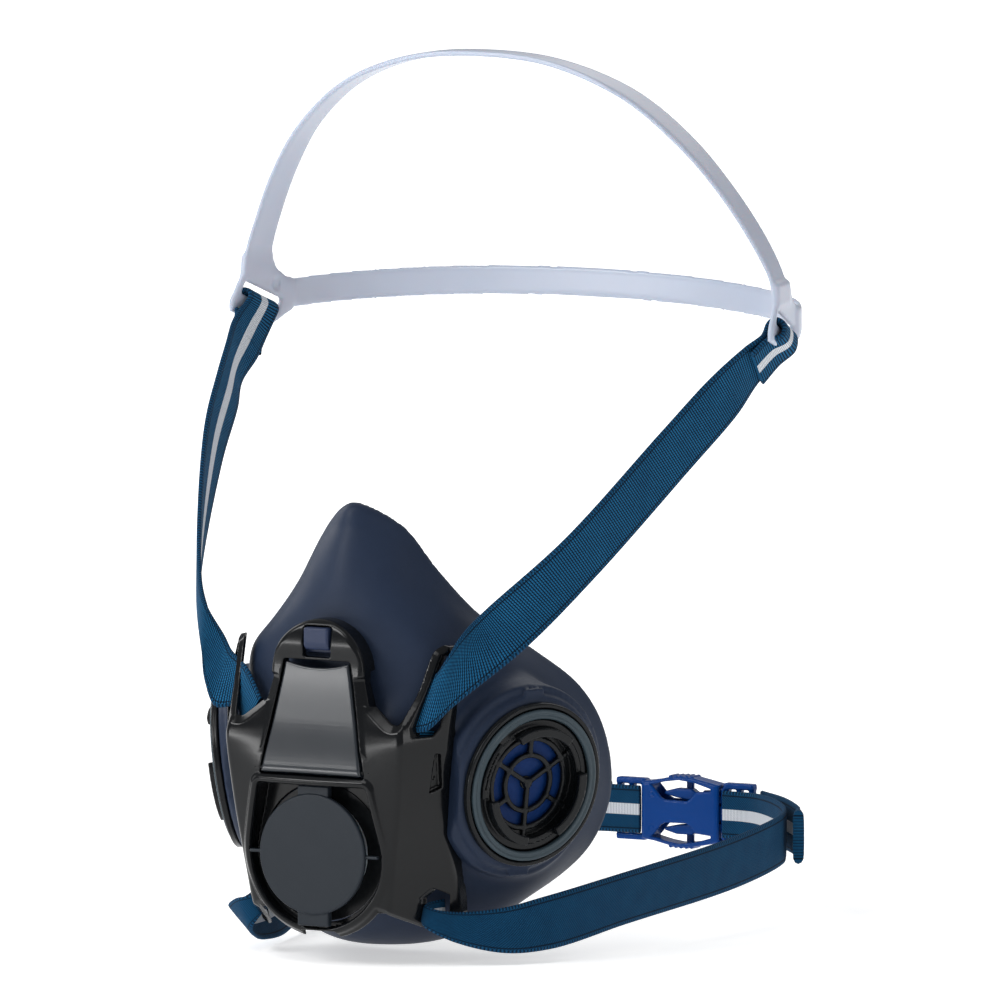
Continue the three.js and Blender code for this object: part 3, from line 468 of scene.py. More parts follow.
def webbing(name, stripe=False, twill=False, width=15.0):
    """Woven elastic webbing, drawn from the piece's own across and along coordinates."""
    look = Look(name, 0.85, Sheen_Weight=0.02, Specular_IOR_Level=0.1)

    def times(a, b):
        return look.math("MULTIPLY", a, b)

    def waves(value, pitch):
        """Rises from 0 to 0.5 and falls again within each pitch."""
        return look.math("PINGPONG", look.math("DIVIDE", value, pitch), 0.5)

    def in_cell(value):
        return look.math("SUBTRACT", look.math("FRACT", value), 0.5)

    across, along = look.uv()
    if twill:
        pitch = 0.86
        dark, pale = srgb(6, 52, 86), srgb(20, 86, 126)
        rib = waves(look.math("ADD", across, along), pitch)
        cross = waves(look.math("SUBTRACT", along, across), pitch * 0.8)
        height = look.math("ADD", times(rib, 1.5), times(cross, 0.5), clamp=True)
    else:
        pitch = 0.8
        dark, pale = srgb(14, 72, 112), srgb(36, 122, 172)
        row = look.math("DIVIDE", along, pitch)
        shift = times(look.math("MODULO", look.math("FLOOR", row), 2.0), 0.5)
        u = in_cell(look.math("ADD", look.math("DIVIDE", across, pitch), shift))
        v = in_cell(row)
        far = look.math("ADD", times(times(u, u), 0.75), times(times(v, v), 1.7))
        height = look.math("MULTIPLY_ADD", far, -3.6, 1.0, clamp=True)
    fibre = look.noise(4200, 3)
    shade = look.math("MULTIPLY_ADD", look.noise(160, 3), 0.5, times(fibre, 0.5))
    gap = srgb(1, 12, 26)
    colour = look.mix(look.math("POWER", height, 0.6), gap, look.mix(shade, dark, pale))
    off_middle = look.math("ABSOLUTE", look.math("SUBTRACT", across, width / 2))
    piping = look.math("COMPARE", off_middle, width / 2 - 1.5, 0.22)
    colour = look.mix(times(piping, 0.8), colour, gap)
    selvage = look.math("GREATER_THAN", off_middle, width / 2 - 1.0)
    stitched = look.mix(times(waves(along, 1.05), 2.0), gap, srgb(22, 80, 120))
    colour = look.mix(selvage, colour, stitched)
    if stripe:
        silver = look.mix(times(waves(along, 0.5), 2.0), srgb(150, 158, 168), srgb(236, 238, 242))
        colour = look.mix(look.math("LESS_THAN", off_middle, 1.75), colour, silver)
    look.set("Base Color", colour)
    look.set("Roughness", look.scaled(fibre, 0.7, 0.92))
    look.set("Normal", look.bump(height, 0.00018, 0.9, look.bump(fibre, 0.00003)))
    return look.material


FINISH = {
    "face_rubber": moulded("matte navy rubber", srgb(29, 41, 62), 0.5, grain=0.00003, specular=0.2),
    "frame_plastic": moulded(
        "glossy charcoal", srgb(8, 10, 13), 0.17, mottle=0.06, grain=0.000004, specular=0.24),
    "satin_plastic": moulded(
        "satin slate", srgb(30, 35, 41), 0.22, mottle=0.06, grain=0.000008, specular=0.5),
    "disc_plastic": moulded(
        "satin slate disc", srgb(30, 36, 43), 0.34, mottle=0.06, grain=0.00001, specular=0.17),
    "navy_rubber": moulded("navy button", srgb(30, 42, 70), 0.42, specular=0.3),
    "port_plastic": moulded(
        "black satin plastic", srgb(11, 14, 17), 0.26, mottle=0.08, grain=0.00001, specular=0.2),
    "gasket_rubber": moulded("grey gasket rubber", srgb(48, 62, 70), 0.42, specular=0.3),
    "flap_blue": moulded("blue silicone flap", srgb(0, 36, 86), 0.4, specular=0.08),
    "flap_clear": moulded("clear silicone flap", srgb(186, 194, 202), 0.35, Subsurface_Weight=0.1),
    "cradle_plastic": moulded(
        "pale lavender plastic", srgb(172, 182, 200), 0.3, mottle=0.03, grain=0.00001,
        Subsurface_Weight=0.05),
    "buckle_blue": moulded("blue buckle plastic", srgb(0, 58, 128), 0.22, mottle=0.08, specular=0.14),
    "steel": moulded("spring steel", srgb(176, 178, 182), 0.28, Metallic=1.0),
}
WEB_OUTER = webbing("webbing, plain face", width=16.0)
WEB_INNER = webbing("webbing, striped face", stripe=True, width=16.0)
NECK_OUTER = webbing("neck webbing, plain face", twill=True)
NECK_INNER = webbing("neck webbing, striped face", stripe=True, twill=True)


def placed(obj, look, body, *nodes, slot_name=None):
    """Gives a rigid piece its finish and its body, and hides the CAD nodes that it stands for."""
    obj.data.materials.append(FINISH[look])
    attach(obj, body)
    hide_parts(*nodes)


# ---- camera, floor and light


def look_from(azimuth, elevation):
    a, e = math.radians(azimuth), math.radians(elevation)
    return Vector((math.sin(a) * math.cos(e), -math.cos(a) * math.cos(e), math.sin(e)))


CAMERA_AIM = Vector((40.3, -48.7, 69.2)) * MM
CAMERA_DISTANCE = 8.0
CAMERA_SIDE = look_from(30, 6)
VIEW_WIDTH = 0.2817
SENSOR_WIDTH = 36

camera = bpy.data.objects.new("camera", bpy.data.cameras.new("camera"))
bpy.context.collection.objects.link(camera)
camera.location = CAMERA_AIM + CAMERA_SIDE * CAMERA_DISTANCE
camera.rotation_euler = CAMERA_SIDE.to_track_quat("Z", "Y").to_euler()
camera.data.sensor_width = SENSOR_WIDTH
camera.data.lens = SENSOR_WIDTH * CAMERA_DISTANCE / VIEW_WIDTH
camera.data.clip_end = 100
bpy.context.scene.camera = camera

scene = bpy.context.scene
scene.view_settings.view_transform = "Standard"

floor_z = CAD_BOX[0].z / MM - 1
FLOOR_REACH = 9000
corners = [(i * FLOOR_REACH, j * FLOOR_REACH) for i, j in ((-1, -1), (1, -1), (1, 1), (-1, 1))]
floor = new_object("floor", [(x, y, floor_z) for x, y in corners], [[0, 1, 2, 3]])
paper = Look("white paper", 0.9)
paper.set("Base Color", paper.mix(paper.noise(3, 2), (0.9, 0.9, 0.9, 1), (0.94, 0.94, 0.94, 1)))
paper.shader.inputs["Emission Color"].default_value = (1, 1, 1, 1)
distance = paper.node("ShaderNodeVectorMath", paper.position(), operation="LENGTH", out=1)
paper.set("Emission Strength", paper.node("ShaderNodeMapRange", distance, 0.2, 1.6, 0.5, 0.95))
floor.data.materials.append(paper.material)

world = bpy.data.worlds.new("studio")
scene.world = world
world.use_nodes = True
world.node_tree.nodes["Background"].inputs[0].default_value = (0.98, 0.99, 1.0, 1)
world.node_tree.nodes["Background"].inputs[1].default_value = 0.35


LAMP_AIM = Vector((0, -30 * MM, 20 * MM))


def softbox(name, azimuth, elevation, distance, width, height, power):
    """A rectangular lamp aimed at the object from the given direction."""
    data = bpy.data.lights.new(name, "AREA")
    data.shape = "RECTANGLE"
    data.size, data.size_y = width, height
    data.energy = power
    lamp = bpy.data.objects.new(name, data)
    bpy.context.collection.objects.link(lamp)
    side = look_from(azimuth, elevation)
    lamp.location = LAMP_AIM + side * distance
    lamp.rotation_euler = side.to_track_quat("Z", "Y").to_euler()


softbox("key", -33, 34, 1.4, 0.6, 0.42, 8)
softbox("front", -34, 1, 1.5, 0.5, 0.14, 2.7)
softbox("high", -20, 62, 1.5, 0.8, 0.5, 4)
softbox("side", 88, 18, 1.5, 0.16, 1.0, 2.4)
softbox("left", -105, 25, 1.5, 0.5, 0.9, 5)
softbox("back", 190, 35, 1.8, 1.2, 0.8, 4)

# ---- front frame


def arc(centre_z, radius, start, end, count=40):
    """Points of an arc in the XZ plane about (0, centre_z), angles in degrees from +X."""
    angles = np.radians(np.linspace(start, end, count))
    return [(radius * math.cos(a), centre_z + radius * math.sin(a)) for a in angles]


def grown(points, by, x, z):
    """Distance from an outline whose corners are rounded by the given radius."""
    return outline(points, x, z) - by


def mirror_outline(right):
    """A whole outline from its right half, which begins and ends at the middle."""
    return right + [(-x, z) for x, z in reversed(right)]


VALLEY_CURVE = [tuple(v) for v in catmull(VALLEY, 4, dims=2)]
LOWER_EDGE = [(33, -53.6)] + WING_OUTLINE[-3:] + arc(EXHAUST_Z, CHIN_RADIUS, -40, -90, 10)
WING_FOOT = WING_OUTLINE[-1]
CHIN_ANGLE = math.degrees(math.atan2(WING_FOOT[1] - EXHAUST_Z, WING_FOOT[0]))
CHIN = arc(EXHAUST_Z, CHIN_RADIUS, -90, CHIN_ANGLE, 16)[:-1]
BODY = mirror_outline(CHIN + WING_OUTLINE[::-1] + VALLEY_CURVE[::-1])
ARCH = mirror_outline([(LEG_FOOT[0] + 0.4, -3), LEG_FOOT] + arc(ARCH_CENTRE_Z, ARCH_RADIUS, -8, 89, 28))
CAVITY_SIDE = arc(EXHAUST_Z, CAVITY_RADIUS - CAVITY_ROUNDING, -90, 12, 30)
CAVITY = mirror_outline(CAVITY_SIDE + [tuple(v - CAVITY_ROUNDING for v in CAVITY_TOP)])
COVER_HOLE = mirror_outline([COVER_BOTTOM, COVER_TOP])
POCKET = [(11.3, -11.6), (14.9, -10.4), (14.3, -6.5), (13.6, -1.2), (12.3, -1)]


def wing_at(z):
    """The wing's ridge at a height, the way from it to the wing's rear edge, and the length of that."""
    rx, ry = ridge_x(z), ridge_y(z)
    ex, ey = rear_x(z) - rx, rear_y(z) - ry
    return rx, ry, ex, ey, np.hypot(ex, ey)


def outer_field(x, y, z):
    """Distance outside the frame's outer surface: a face between the ridges, and a wing each side."""
    rx, ry, ex, ey, size = wing_at(z)
    wing = ((x - rx) * ey - (y - ry) * ex) / size
    bow = (ry - face_y(z)) * (x / rx) ** 2
    front = (face_y(z) + bow - y) / np.hypot(1, 2 * bow / np.maximum(x, 1))
    return smax(front, wing, 1.0)


def along_wing(x, y, z):
    """How far a point is behind the wing's ridge."""
    rx, ry, ex, ey, size = wing_at(z)
    return ((x - rx) * ex + (y - ry) * ey) / size


def bevelled(surface, edge, depth, width, slope):
    """A bevel that takes the given depth off a surface at an edge and ends at the width from it."""
    return slope * (surface + depth * (1 - edge / width))


def frame_field(x, y, z):
    x = np.abs(x)
    outer = outer_field(x, y, z)
    flat = face_y(z) - y
    # The slab, with bevels along the valleys and horns and along its lower edges.
    bevel = bevelled(outer, polyline(VALLEY_CURVE, x, z), 1.45, 2.2, 0.83)
    bevel = meet(bevel, bevelled(outer, polyline(LOWER_EDGE, x, z), 1.3, 1.6, 0.8))
    skin = smax(smax(outer, outline(BODY, x, z), 0.5), bevel, 0.25)
    skin = smax(skin, -outer - FRAME_WALL, 0.3)
    # The arch over the button: a deep wall round its edge, and a flat face.
    arch = outline(ARCH, x, z)
    facet = bevelled(flat, -arch, 1.7, 3.0, 0.88) - np.clip((z - 20) / 3, 0, 1) * 4
    rim = smax(smax(arch, flat, 1.6), facet, 0.2)
    back = np.where(z > 22, ARCH_BACK, LEG_BACK)
    hollow = meet(arch + 1.8, flat + FRAME_WALL)
    made = smin(skin, meet(rim, -hollow, y - back), 0.7)
    # The exhaust cavity with its bead, its walls, and a floor with a round opening.
    cavity = grown(CAVITY, CAVITY_ROUNDING, x, z)
    liner = meet(cavity - 1.5, y - CAVITY_BACK, outer + 0.1)
    bead = np.hypot(cavity - 1.15, outer + 0.1) - 0.95
    made = smin(join(made, liner), bead, 0.9)
    made = smax(made, -meet(cavity, y - CAVITY_BACK), 0.5)
    floor_ring = meet(np.abs(y - CAVITY_BACK - 0.6) - 0.6, cavity - 1.3)
    opening = meet(np.hypot(x, z - EXHAUST_Z) - CAVITY_OPENING, y + 70)
    behind = meet(cavity + 2.2, CAVITY_BACK + 1.2 - y)
    made = meet(join(made, floor_ring), -opening, -behind)
    # Openings: the cover's recess, the button's window, the slot in the chin and the straps' slots.
    for hole, rounding in (
        (meet(grown(COVER_HOLE, COVER_SEAM, x, z), y - RECESS_BACK), 0.4),
        (meet(plate(x, z - WINDOW_Z, 4.5, 4.4, 1.1), y - WINDOW_BACK), 0.5),
        (plate(x, z - CHIN_SLOT_Z, 5.6, 1.3, 0.4), 0.4),
        (grown(UPPER_SLOT, 0.2, x, z), 0.7),
        (grown(LOWER_SLOT, 0.3, x, z), 0.7),
    ):
        made = smax(made, -hole, rounding)
    # A shallow keyhole recess on each wing, and the spring's seat behind the arch.
    run = along_wing(x, y, z)
    pocket = smax(grown(POCKET, 0.3, run, z), -outer - 1.7, 0.5)
    pin = meet(np.hypot(run - 12.6, z + 7.6) - 0.75, -outer - 1.9)
    made = smax(made, -join(pocket, pin), 0.35)
    seat = meet(block(x, y, z, (-14, -75.8, 27.5), (14, -74.6, 34)), arch + 0.6)
    return join(made, seat)


placed(
    field_mesh("front_frame_shell", frame_field, (-38, -89, -58), (38, -55, 38.5), SHELL_VOXEL),
    "frame_plastic", "mask", "front_frame")


def cover_field(x, y, z):
    x = np.abs(x)
    flat = face_y(z) + 0.1 - y
    sides = outline(COVER_HOLE, x, z)
    dip = z - (COVER_TOP[1] - COVER_DIP * (1 - (x / COVER_TOP[0]) ** 2))
    lid = smax(smax(sides + 0.1, dip, 0.4), flat, 0.7)
    hub = np.hypot(y - HINGE[0], z - HINGE[1])
    lid = meet(lid, -flat - COVER_THICKNESS, -meet(z - HINGE[1], 1.5 - hub))
    barrel = meet(hub - 1.25, x - 15.6)
    hook = block(x, y, z, (-3, -82, 20.4), (3, -79.6, 21.8))
    return smin(join(lid, hook), barrel, 0.3)


placed(
    field_mesh("front_cover_lid", cover_field, (-18, -88, -9), (18, -79, 26), PLATE_VOXEL),
    "satin_plastic", "cover", "front_cover")


def button_field(x, y, z):
    cap = block(x, y, z, (-4, -83, 27.6), (4, -79, 34), 0.7)
    slope = 0.8 * (-82.7 - y) - 0.6 * (z - 28.8)
    ledge = block(x, y, z, (-5.2, -79.4, 26.6), (5.2, -78.5, 32.9), 0.2)
    return join(smax(cap, slope, 0.5), ledge)


placed(
    field_mesh("release_button_cap", button_field, (-6, -84, 26), (6, -78, 35), 0.3),
    "navy_rubber", "button", "release_button")


def disc_field(x, y, z):
    z = z - EXHAUST_Z
    r = np.hypot(x, z)
    disc = ring(r, y, -18, 17.1, -85, -83.4, 0.45)
    upper_tab = block(x, y, z, (-5, -84.4, 14), (5, -82.2, CAVITY_TOP[1] - EXHAUST_Z - 0.3))
    lower_tab = block(x, y, z, (-5, -84.4, -20.4), (5, -82.2, -14))
    ribs = block(np.abs(x), y, z, (16, -84.2, -0.45), (20.8, -82.6, 0.45), 0.2)
    foot = ring(r, y, 2.6, 4, -83.6, -81.2)
    return join(smin(disc, join(upper_tab, lower_tab), 0.3), ribs, foot)


placed(
    field_mesh("exhaust_cover_disc", disc_field, (-22, -86, -52), (22, -80, -9), PLATE_VOXEL),
    "disc_plastic", "mask", "exhaust_cover", slot_name="satin_plastic")

# ---- inlet ports


def port_place(sign):
    """The turn and shift from a port's own frame (+Y out of the port, +X its front edge) to the cheek."""
    out = np.array([math.sin(PORT_AZIMUTH), -math.cos(PORT_AZIMUTH), -math.tan(PORT_DIP)])
    out /= np.linalg.norm(out)
    side = np.cross(out, [0, 0, 1])
    side /= np.linalg.norm(side)
    turn = np.stack([side, out, np.cross(side, out)], 1)
    flip = np.diag([sign, 1, 1])
    return flip @ turn, flip @ PORT_CENTRE


def turned(x, z, degrees):
    """Coordinates along and across a direction at an angle from +X towards -Z, as the port turns."""
    a = math.radians(degrees)
    return x * math.cos(a) - z * math.sin(a), x * math.sin(a) + z * math.cos(a)


def sector(x, z, middle, span):
    """Distance outside a wedge about the Y axis, given by its middle and its width in degrees."""
    u, v = turned(x, z, middle)
    half = math.radians(span / 2)
    return np.abs(v) * math.cos(half) - u * math.sin(half)


def spoke(x, y, z, degrees, middle, half_length):
    """A radial bar of the grid that the flap rests on."""
    u, v = turned(x, z, degrees)
    return meet(plate(v, y - GRID_MIDDLE, 0.75, 0.7, 0.45), np.abs(u - middle) - half_length)


def port_field(lug_angles, detent):
    def field(x, y, z):
        r = np.hypot(x, z)
        body = ring(r, y, BARREL_INSIDE, BARREL_RADIUS, -15.2, 2, 0.3)
        flange = ring(r, y, FLANGE_INSIDE, 18.9, 0.3, 1.7, 0.3)
        floor = ring(r, y, FLANGE_INSIDE, FLANGE_RADIUS, 0.3, 1.0, 0.2)
        outer = ring(r, y, 22.2, FLANGE_RADIUS, 0.3, 2.2, 0.5)
        step = ring(r, y, 14.7, 15.7, -7.2, -6.0, 0.2)
        made = join(smin(smin(join(body, floor), flange, 0.4), outer, 0.3), step)
        # The grid: two rings, six outer spokes, three inner ones and a hub.
        bars = join(*(ring(r, y, at, at + 1.5, GRID_BACK, GRID_FRONT, 0.45) for at in (7.25, 12.15)))
        for k in range(6):
            bars = smin(bars, spoke(x, y, z, 30 + 60 * k, 11.6, 4.1), 0.4)
        for k in range(3):
            bars = smin(bars, spoke(x, y, z, 90 - 120 * k, 4, 4), 0.4)
        hub = meet(r - 1.4, np.abs(y - GRID_MIDDLE) - 0.7)
        made = smin(made, smin(bars, hub, 0.4), 0.3)
        # The bayonet's lugs, and the springy tab that a filter clicks past.
        for middle in lug_angles:
            wedge = sector(x, z, middle, LUG_SPAN)
            wall = smax(ring(r, y, BARREL_INSIDE, BARREL_RADIUS, 1.5, 5, 0.3), wedge, 0.3)
            lip = smax(ring(r, y, 14.4, BARREL_RADIUS, 3.5, 5, 0.4), wedge, 0.4)
            made = join(made, wall, lip)
        if detent is not None:
            tab = smax(ring(r, y, 17.3, 19.0, 1.2, 3.6, 0.5), sector(x, z, detent, 52), 0.4)
            slit = meet(ring(r, y, 17.9, 18.3, 2.9, 4, 0.1), sector(x, z, detent, 36))
            made = join(made, smax(tab, -slit, 0.2))
        # The ring round the flap, and the stem that holds the flap.
        made = join(made, ring(r, y, 13.3, 15.7, GRID_BACK, -1.1, 0.2))
        pin = meet(r - 1.1, np.abs(y + 3.4) - 1.9)
        knob = ring(r, y, -2.3, 2.2, -6, -5, 0.4)
        collar = meet(r - 1.9, np.abs(y + 1.7) - 0.25)
        return smin(made, join(pin, knob, collar), 0.3)

    return field


def gasket_field(x, y, z):
    r = np.hypot(x, z)
    made = ring(r, y, 19.2, 21.9, 1.3, 2.9, 0.6)
    return smax(made, -(np.hypot(r - 20.55, y - 3.1) - 0.42), 0.2)


for side_name, sign in SIDES.items():
    where = port_place(sign)
    detent = -18 if sign > 0 else None
    port = field_mesh(
        "inlet_port_" + side_name + "_body", port_field(LUG_ANGLES[side_name], detent),
        (-24.4, -16, -24.4), (24.4, 6, 24.4), SHELL_VOXEL, where)
    placed(port, "port_plastic", "mask", "inlet_port_" + side_name)
    gasket = field_mesh(
        "port_gasket_" + side_name + "_ring", gasket_field,
        (-22.6, 0.6, -22.6), (22.6, 3.6, 22.6), 0.4, where)
    placed(gasket, "gasket_rubber", "mask", "port_gasket_" + side_name)

# ---- facepiece


def face_rings():
    """The outer skin as closed rings of points, from the front edge to the rim."""
    rings = []
    for half in FACE_RINGS:
        whole = half + [[-x, y, z] for x, y, z in half[-2:0:-1]]
        rings.append(catmull(whole, 8, closed=True))
    rings = np.array(rings)
    across = [catmull(rings[:, i], 9) for i in range(rings.shape[1])]
    return np.array(across).transpose(1, 0, 2)


def face_shell():
    """The closed skin of the facepiece with its turned-in seal, as points and quads."""
    outer = face_rings()
    last = len(outer) - 1
    inner = []
    for s, loop in enumerate(outer):
        along = outer[min(s + 1, last)] - outer[max(s - 1, 0)]
        round_ = np.roll(loop, -1, 0) - np.roll(loop, 1, 0)
        inner.append(loop + unit(np.cross(along, round_)) * FACE_WALL)
    inner[0] = outer[0] + [0, FACE_WALL, 0]
    rim = outer[-1]
    inward = unit((np.array([0, 0, -5]) - rim) * [1, 0, 1])
    lip = [
        rim + inward * 10 * t + np.array([0, -4 * t * t, 0]) + [0, 0.5 * math.sin(math.pi * t), 0]
        for t in (0.2, 0.4, 0.6, 0.8, 1.0)
    ]
    back = [
        lip[-1] + [0, -1.2, 0],
        lip[-1] - inward * 3.5 + [0, -1.3, 0],
        rim + inward * FACE_WALL + [0, -3.4, 0],
    ]
    return np.array(list(outer) + lip + back + inner[last - 1 :: -1])


def level_set(points, quads, low, shape, voxel):
    """Signed distances in millimetres to a closed mesh, near its surface, on a dense lattice."""
    grid = openvdb.FloatGrid.createLevelSetFromPolygons(
        ((points - low) / voxel).astype(np.float32), quads=quads.astype(np.uint32), halfWidth=4.0)
    dense = np.full(shape, grid.background, np.float32)
    grid.copyToArray(dense)
    return dense * voxel


def port_coordinates(x, y, z, sign):
    """The coordinates of points in a port's own frame."""
    turn, shift = port_place(sign)
    d = [x - shift[0], y - shift[1], z - shift[2]]
    return [d[0] * turn[0, k] + d[1] * turn[1, k] + d[2] * turn[2, k] for k in range(3)]


def add_ports(made, x, y, z):
    """Adds the round pads that the inlets sit in, then cuts the bores."""
    for sign in (1, -1):
        u, v, w = port_coordinates(x, y, z, sign)
        r = np.hypot(u, w)
        pad = smax(smax(r - PAD_RADIUS, v, 2.2), -v - PAD_DEPTH, 1.0)
        step = smax(smax(r - PAD_RADIUS - 2.4, v + 2.6, 1.2), -v - PAD_DEPTH + 1, 1.0)
        made = smin(made, smin(pad, step, 0.9), 3.0)
        marks = [block(u, v, w, (-3.5, -2.4, h - 0.9), (3.5, -0.9, h + 0.9), 0.3) for h in (26.3, -26.3)]
        made = join(made, *marks)
    for sign in (1, -1):
        u, v, w = port_coordinates(x, y, z, sign)
        r = np.hypot(u, w)
        seat = meet(r - 21.8, v + PAD_DEPTH, -v - BORE_DEPTH)
        bore = meet(r - BARREL_RADIUS - 0.25, v - 5, -v - BORE_DEPTH)
        groove = np.hypot(r - 24.4, v - 0.2) - 0.45
        made = smax(made, -join(bore, seat, groove), 0.4)
    return made


def soften(field, times):
    """Averages a field with its neighbours, which rounds sharp crests over."""
    for _ in range(times):
        for axis in range(3):
            field = (np.roll(field, 1, axis) + 2 * field + np.roll(field, -1, axis)) / 4
    return field


def make_facepiece():
    low = np.array([-60.0, -82.0, -66.0])
    shape, x, y, z = lattice(low, np.array([60.0, 5.0, 71.0]), FACE_VOXEL)
    made = level_set(*skin_rings(face_shell()), low, shape, FACE_VOXEL)
    made = add_ports(soften(made, 4), x, y, z)
    exhaust = meet(np.hypot(x, z - EXHAUST_Z) - 15.9, y + 60)
    side = np.abs(x)
    outer = outer_field(side, y, z)
    notch = meet(np.abs(outer - 0.45) - 3.55, along_wing(side, y, z) - 18.5, z - 28.7)
    made = smax(meet(made, -exhaust), -notch, 0.3)
    points, quads = contour(made, low, FACE_VOXEL)
    return new_object("facepiece_shell", relax(points, quads, 17), quads)


placed(make_facepiece(), "face_rubber", "mask", "facepiece")

# ---- head cradle

CROWN = [
    [86.4, 31, 120, 0.98, 0.2, 0], [85.2, 30.5, 127, 0.95, 0.2, 0.1], [81, 28.5, 137, 0.9, 0.15, 0.3],
    [72.5, 24, 152, 0.8, 0.1, 0.5], [61.5, 19.5, 166, 0.6, 0, 0.75], [45, 16, 179, 0.45, 0, 0.9],
    [23, 13.5, 187, 0.2, 0, 1], [0, 13, 189, 0, 0, 1],
]
BAND = [
    [84.3, 42.5, 113.6, 0.98, 0.2, 0], [82.2, 48.5, 114, 0.93, 0.36, 0], [76, 57, 114.8, 0.75, 0.65, 0],
    [63, 65.5, 116, 0.5, 0.85, 0], [42, 71.5, 117.4, 0.25, 0.97, 0], [20, 74.3, 118.2, 0.1, 1, 0],
    [0, 75, 118.4, 0, 1, 0],
]
CRADLE_THICKNESS = 1.6
CORNER_AT = np.array([86.2, 31.3, 0])
CORNER_TURN = math.radians(12)
CORNER = [
    (-11.2, 110.6), (-10.9, 113.5), (-5.8, 121), (-5.5, 126), (5.5, 126), (7.5, 121.5), (12, 118.6),
    (14, 118), (14, 109.3), (8.5, 106.8), (5, 105.4),
]
CORNER_SLOT = [(-6.6, 115.6), (-5, 118.2), (9.4, 112.4), (8, 109.4)]
BAR_BACK, BAR_Z = -0.2, 111.5


def both_sides(half):
    """A whole strip's rows from those of its right half, which ends in the middle."""
    mirror = [[-x, y, z, -nx, ny, nz] for x, y, z, nx, ny, nz in half]
    return mirror + half[-2::-1]


def edges_of(rows, width, steps=10):
    """Two edge curves of a strip from rows of [x, y, z, nx, ny, nz, width share]."""
    full = np.array([list(r) + [1] * (7 - len(r)) for r in rows], float)
    dense = catmull(full, steps)
    along = unit(np.gradient(dense[:, :3], axis=0))
    normal = dense[:, 3:6]
    normal = unit(normal - along * (normal * along).sum(1, keepdims=True))
    across = np.cross(along, normal) * width / 2 * dense[:, 6:7]
    return dense[:, :3] - across, dense[:, :3] + across


def strip_rings(edge_a, edge_b, thickness, across=8, crown=0.0, edge=0.5):
    """Closed cross-sections of a flat strip between two edge curves, round at the edges."""
    middle = (edge_a + edge_b) / 2
    along = unit(np.gradient(middle, axis=0))
    normal = unit(np.cross(unit(edge_b - edge_a), along))
    width = np.linalg.norm(edge_b - edge_a, axis=1)[:, None]
    t = (1 - np.cos(np.linspace(0, math.pi, across + 1))) / 2
    top, bottom = [], []
    for share in t:
        inset = np.minimum(share, 1 - share) * width
        round_off = np.sqrt(np.clip(1 - (1 - np.minimum(inset / (thickness * edge), 1)) ** 2, 0, 1))
        bow = crown * 4 * share * (1 - share)
        at = edge_a + (edge_b - edge_a) * share
        top.append(at + normal * (thickness / 2 * round_off + bow))
        bottom.append(at - normal * (thickness / 2 * round_off - bow))
    rings = np.array(top + bottom[-2:0:-1])
    return rings.transpose(1, 0, 2)


def corner_point(out, back, z, sign):
    """From the corner's own frame (out from the head, back, up) to the object's."""
    c, s = math.cos(CORNER_TURN), math.sin(CORNER_TURN)
    x = CORNER_AT[0] + out * c - back * s
    y = CORNER_AT[1] + out * s + back * c
    return np.stack(np.broadcast_arrays(sign * x, y, z), -1)


def corner_field(x, y, z):
    """The flat plate at each end of the cradle, with the slot that the strap goes through."""
    c, s = math.cos(CORNER_TURN), math.sin(CORNER_TURN)
    dx, dy = np.abs(x) - CORNER_AT[0], y - CORNER_AT[1]
    out, back = dx * c + dy * s, -dx * s + dy * c
    plan = outline(CORNER, back, z)
    made = smax(plan - 0.3, np.abs(out) - CRADLE_THICKNESS / 2 - 0.05, 0.5)
    made = smax(made, -(outline(CORNER_SLOT, back, z) - 0.4), 0.5)
    oval = meet(plate(back - 7.6, z - 117.0, 1.4, 1.9, 1.4), out + 0.2)
    return smax(made, -oval, 0.1)


def make_cradle():
    low = np.array([-92.0, 10.0, 102.0])
    shape, x, y, z = lattice(low, np.array([92.0, 78.0, 192.0]), CRADLE_VOXEL)
    strips = []
    for half, width in ((CROWN, 11.5), (BAND, 8.6)):
        rings = strip_rings(*edges_of(both_sides(half), width, 14), CRADLE_THICKNESS, edge=0.8)
        strips.append(level_set(*skin_rings(rings), low, shape, CRADLE_VOXEL))
    made = smin(*strips, 1.0)
    near = slice(0, int(50 / CRADLE_VOXEL))
    end = int(16 / CRADLE_VOXEL)
    for part in (slice(0, end), slice(-end, None)):
        area = corner_field(x[part], y[:, near], z[:, :, near])
        made[part, near, near] = smin(made[part, near, near], area, 1.6)
    points, quads = contour(made, low, CRADLE_VOXEL)
    return new_object("head_cradle_moulding", relax(points, quads, 21), quads)


placed(make_cradle(), "cradle_plastic", "cradle", "head_cradle")

# ---- straps

THICKNESS = 1.3
UPPER_WIDTH = 16
UPPER_LOOKS = (WEB_OUTER, WEB_INNER)
NECK_WIDTH = 15
NECK_LOOKS = (NECK_OUTER, NECK_INNER)
ACROSS = 10  # faces across each side of a strap


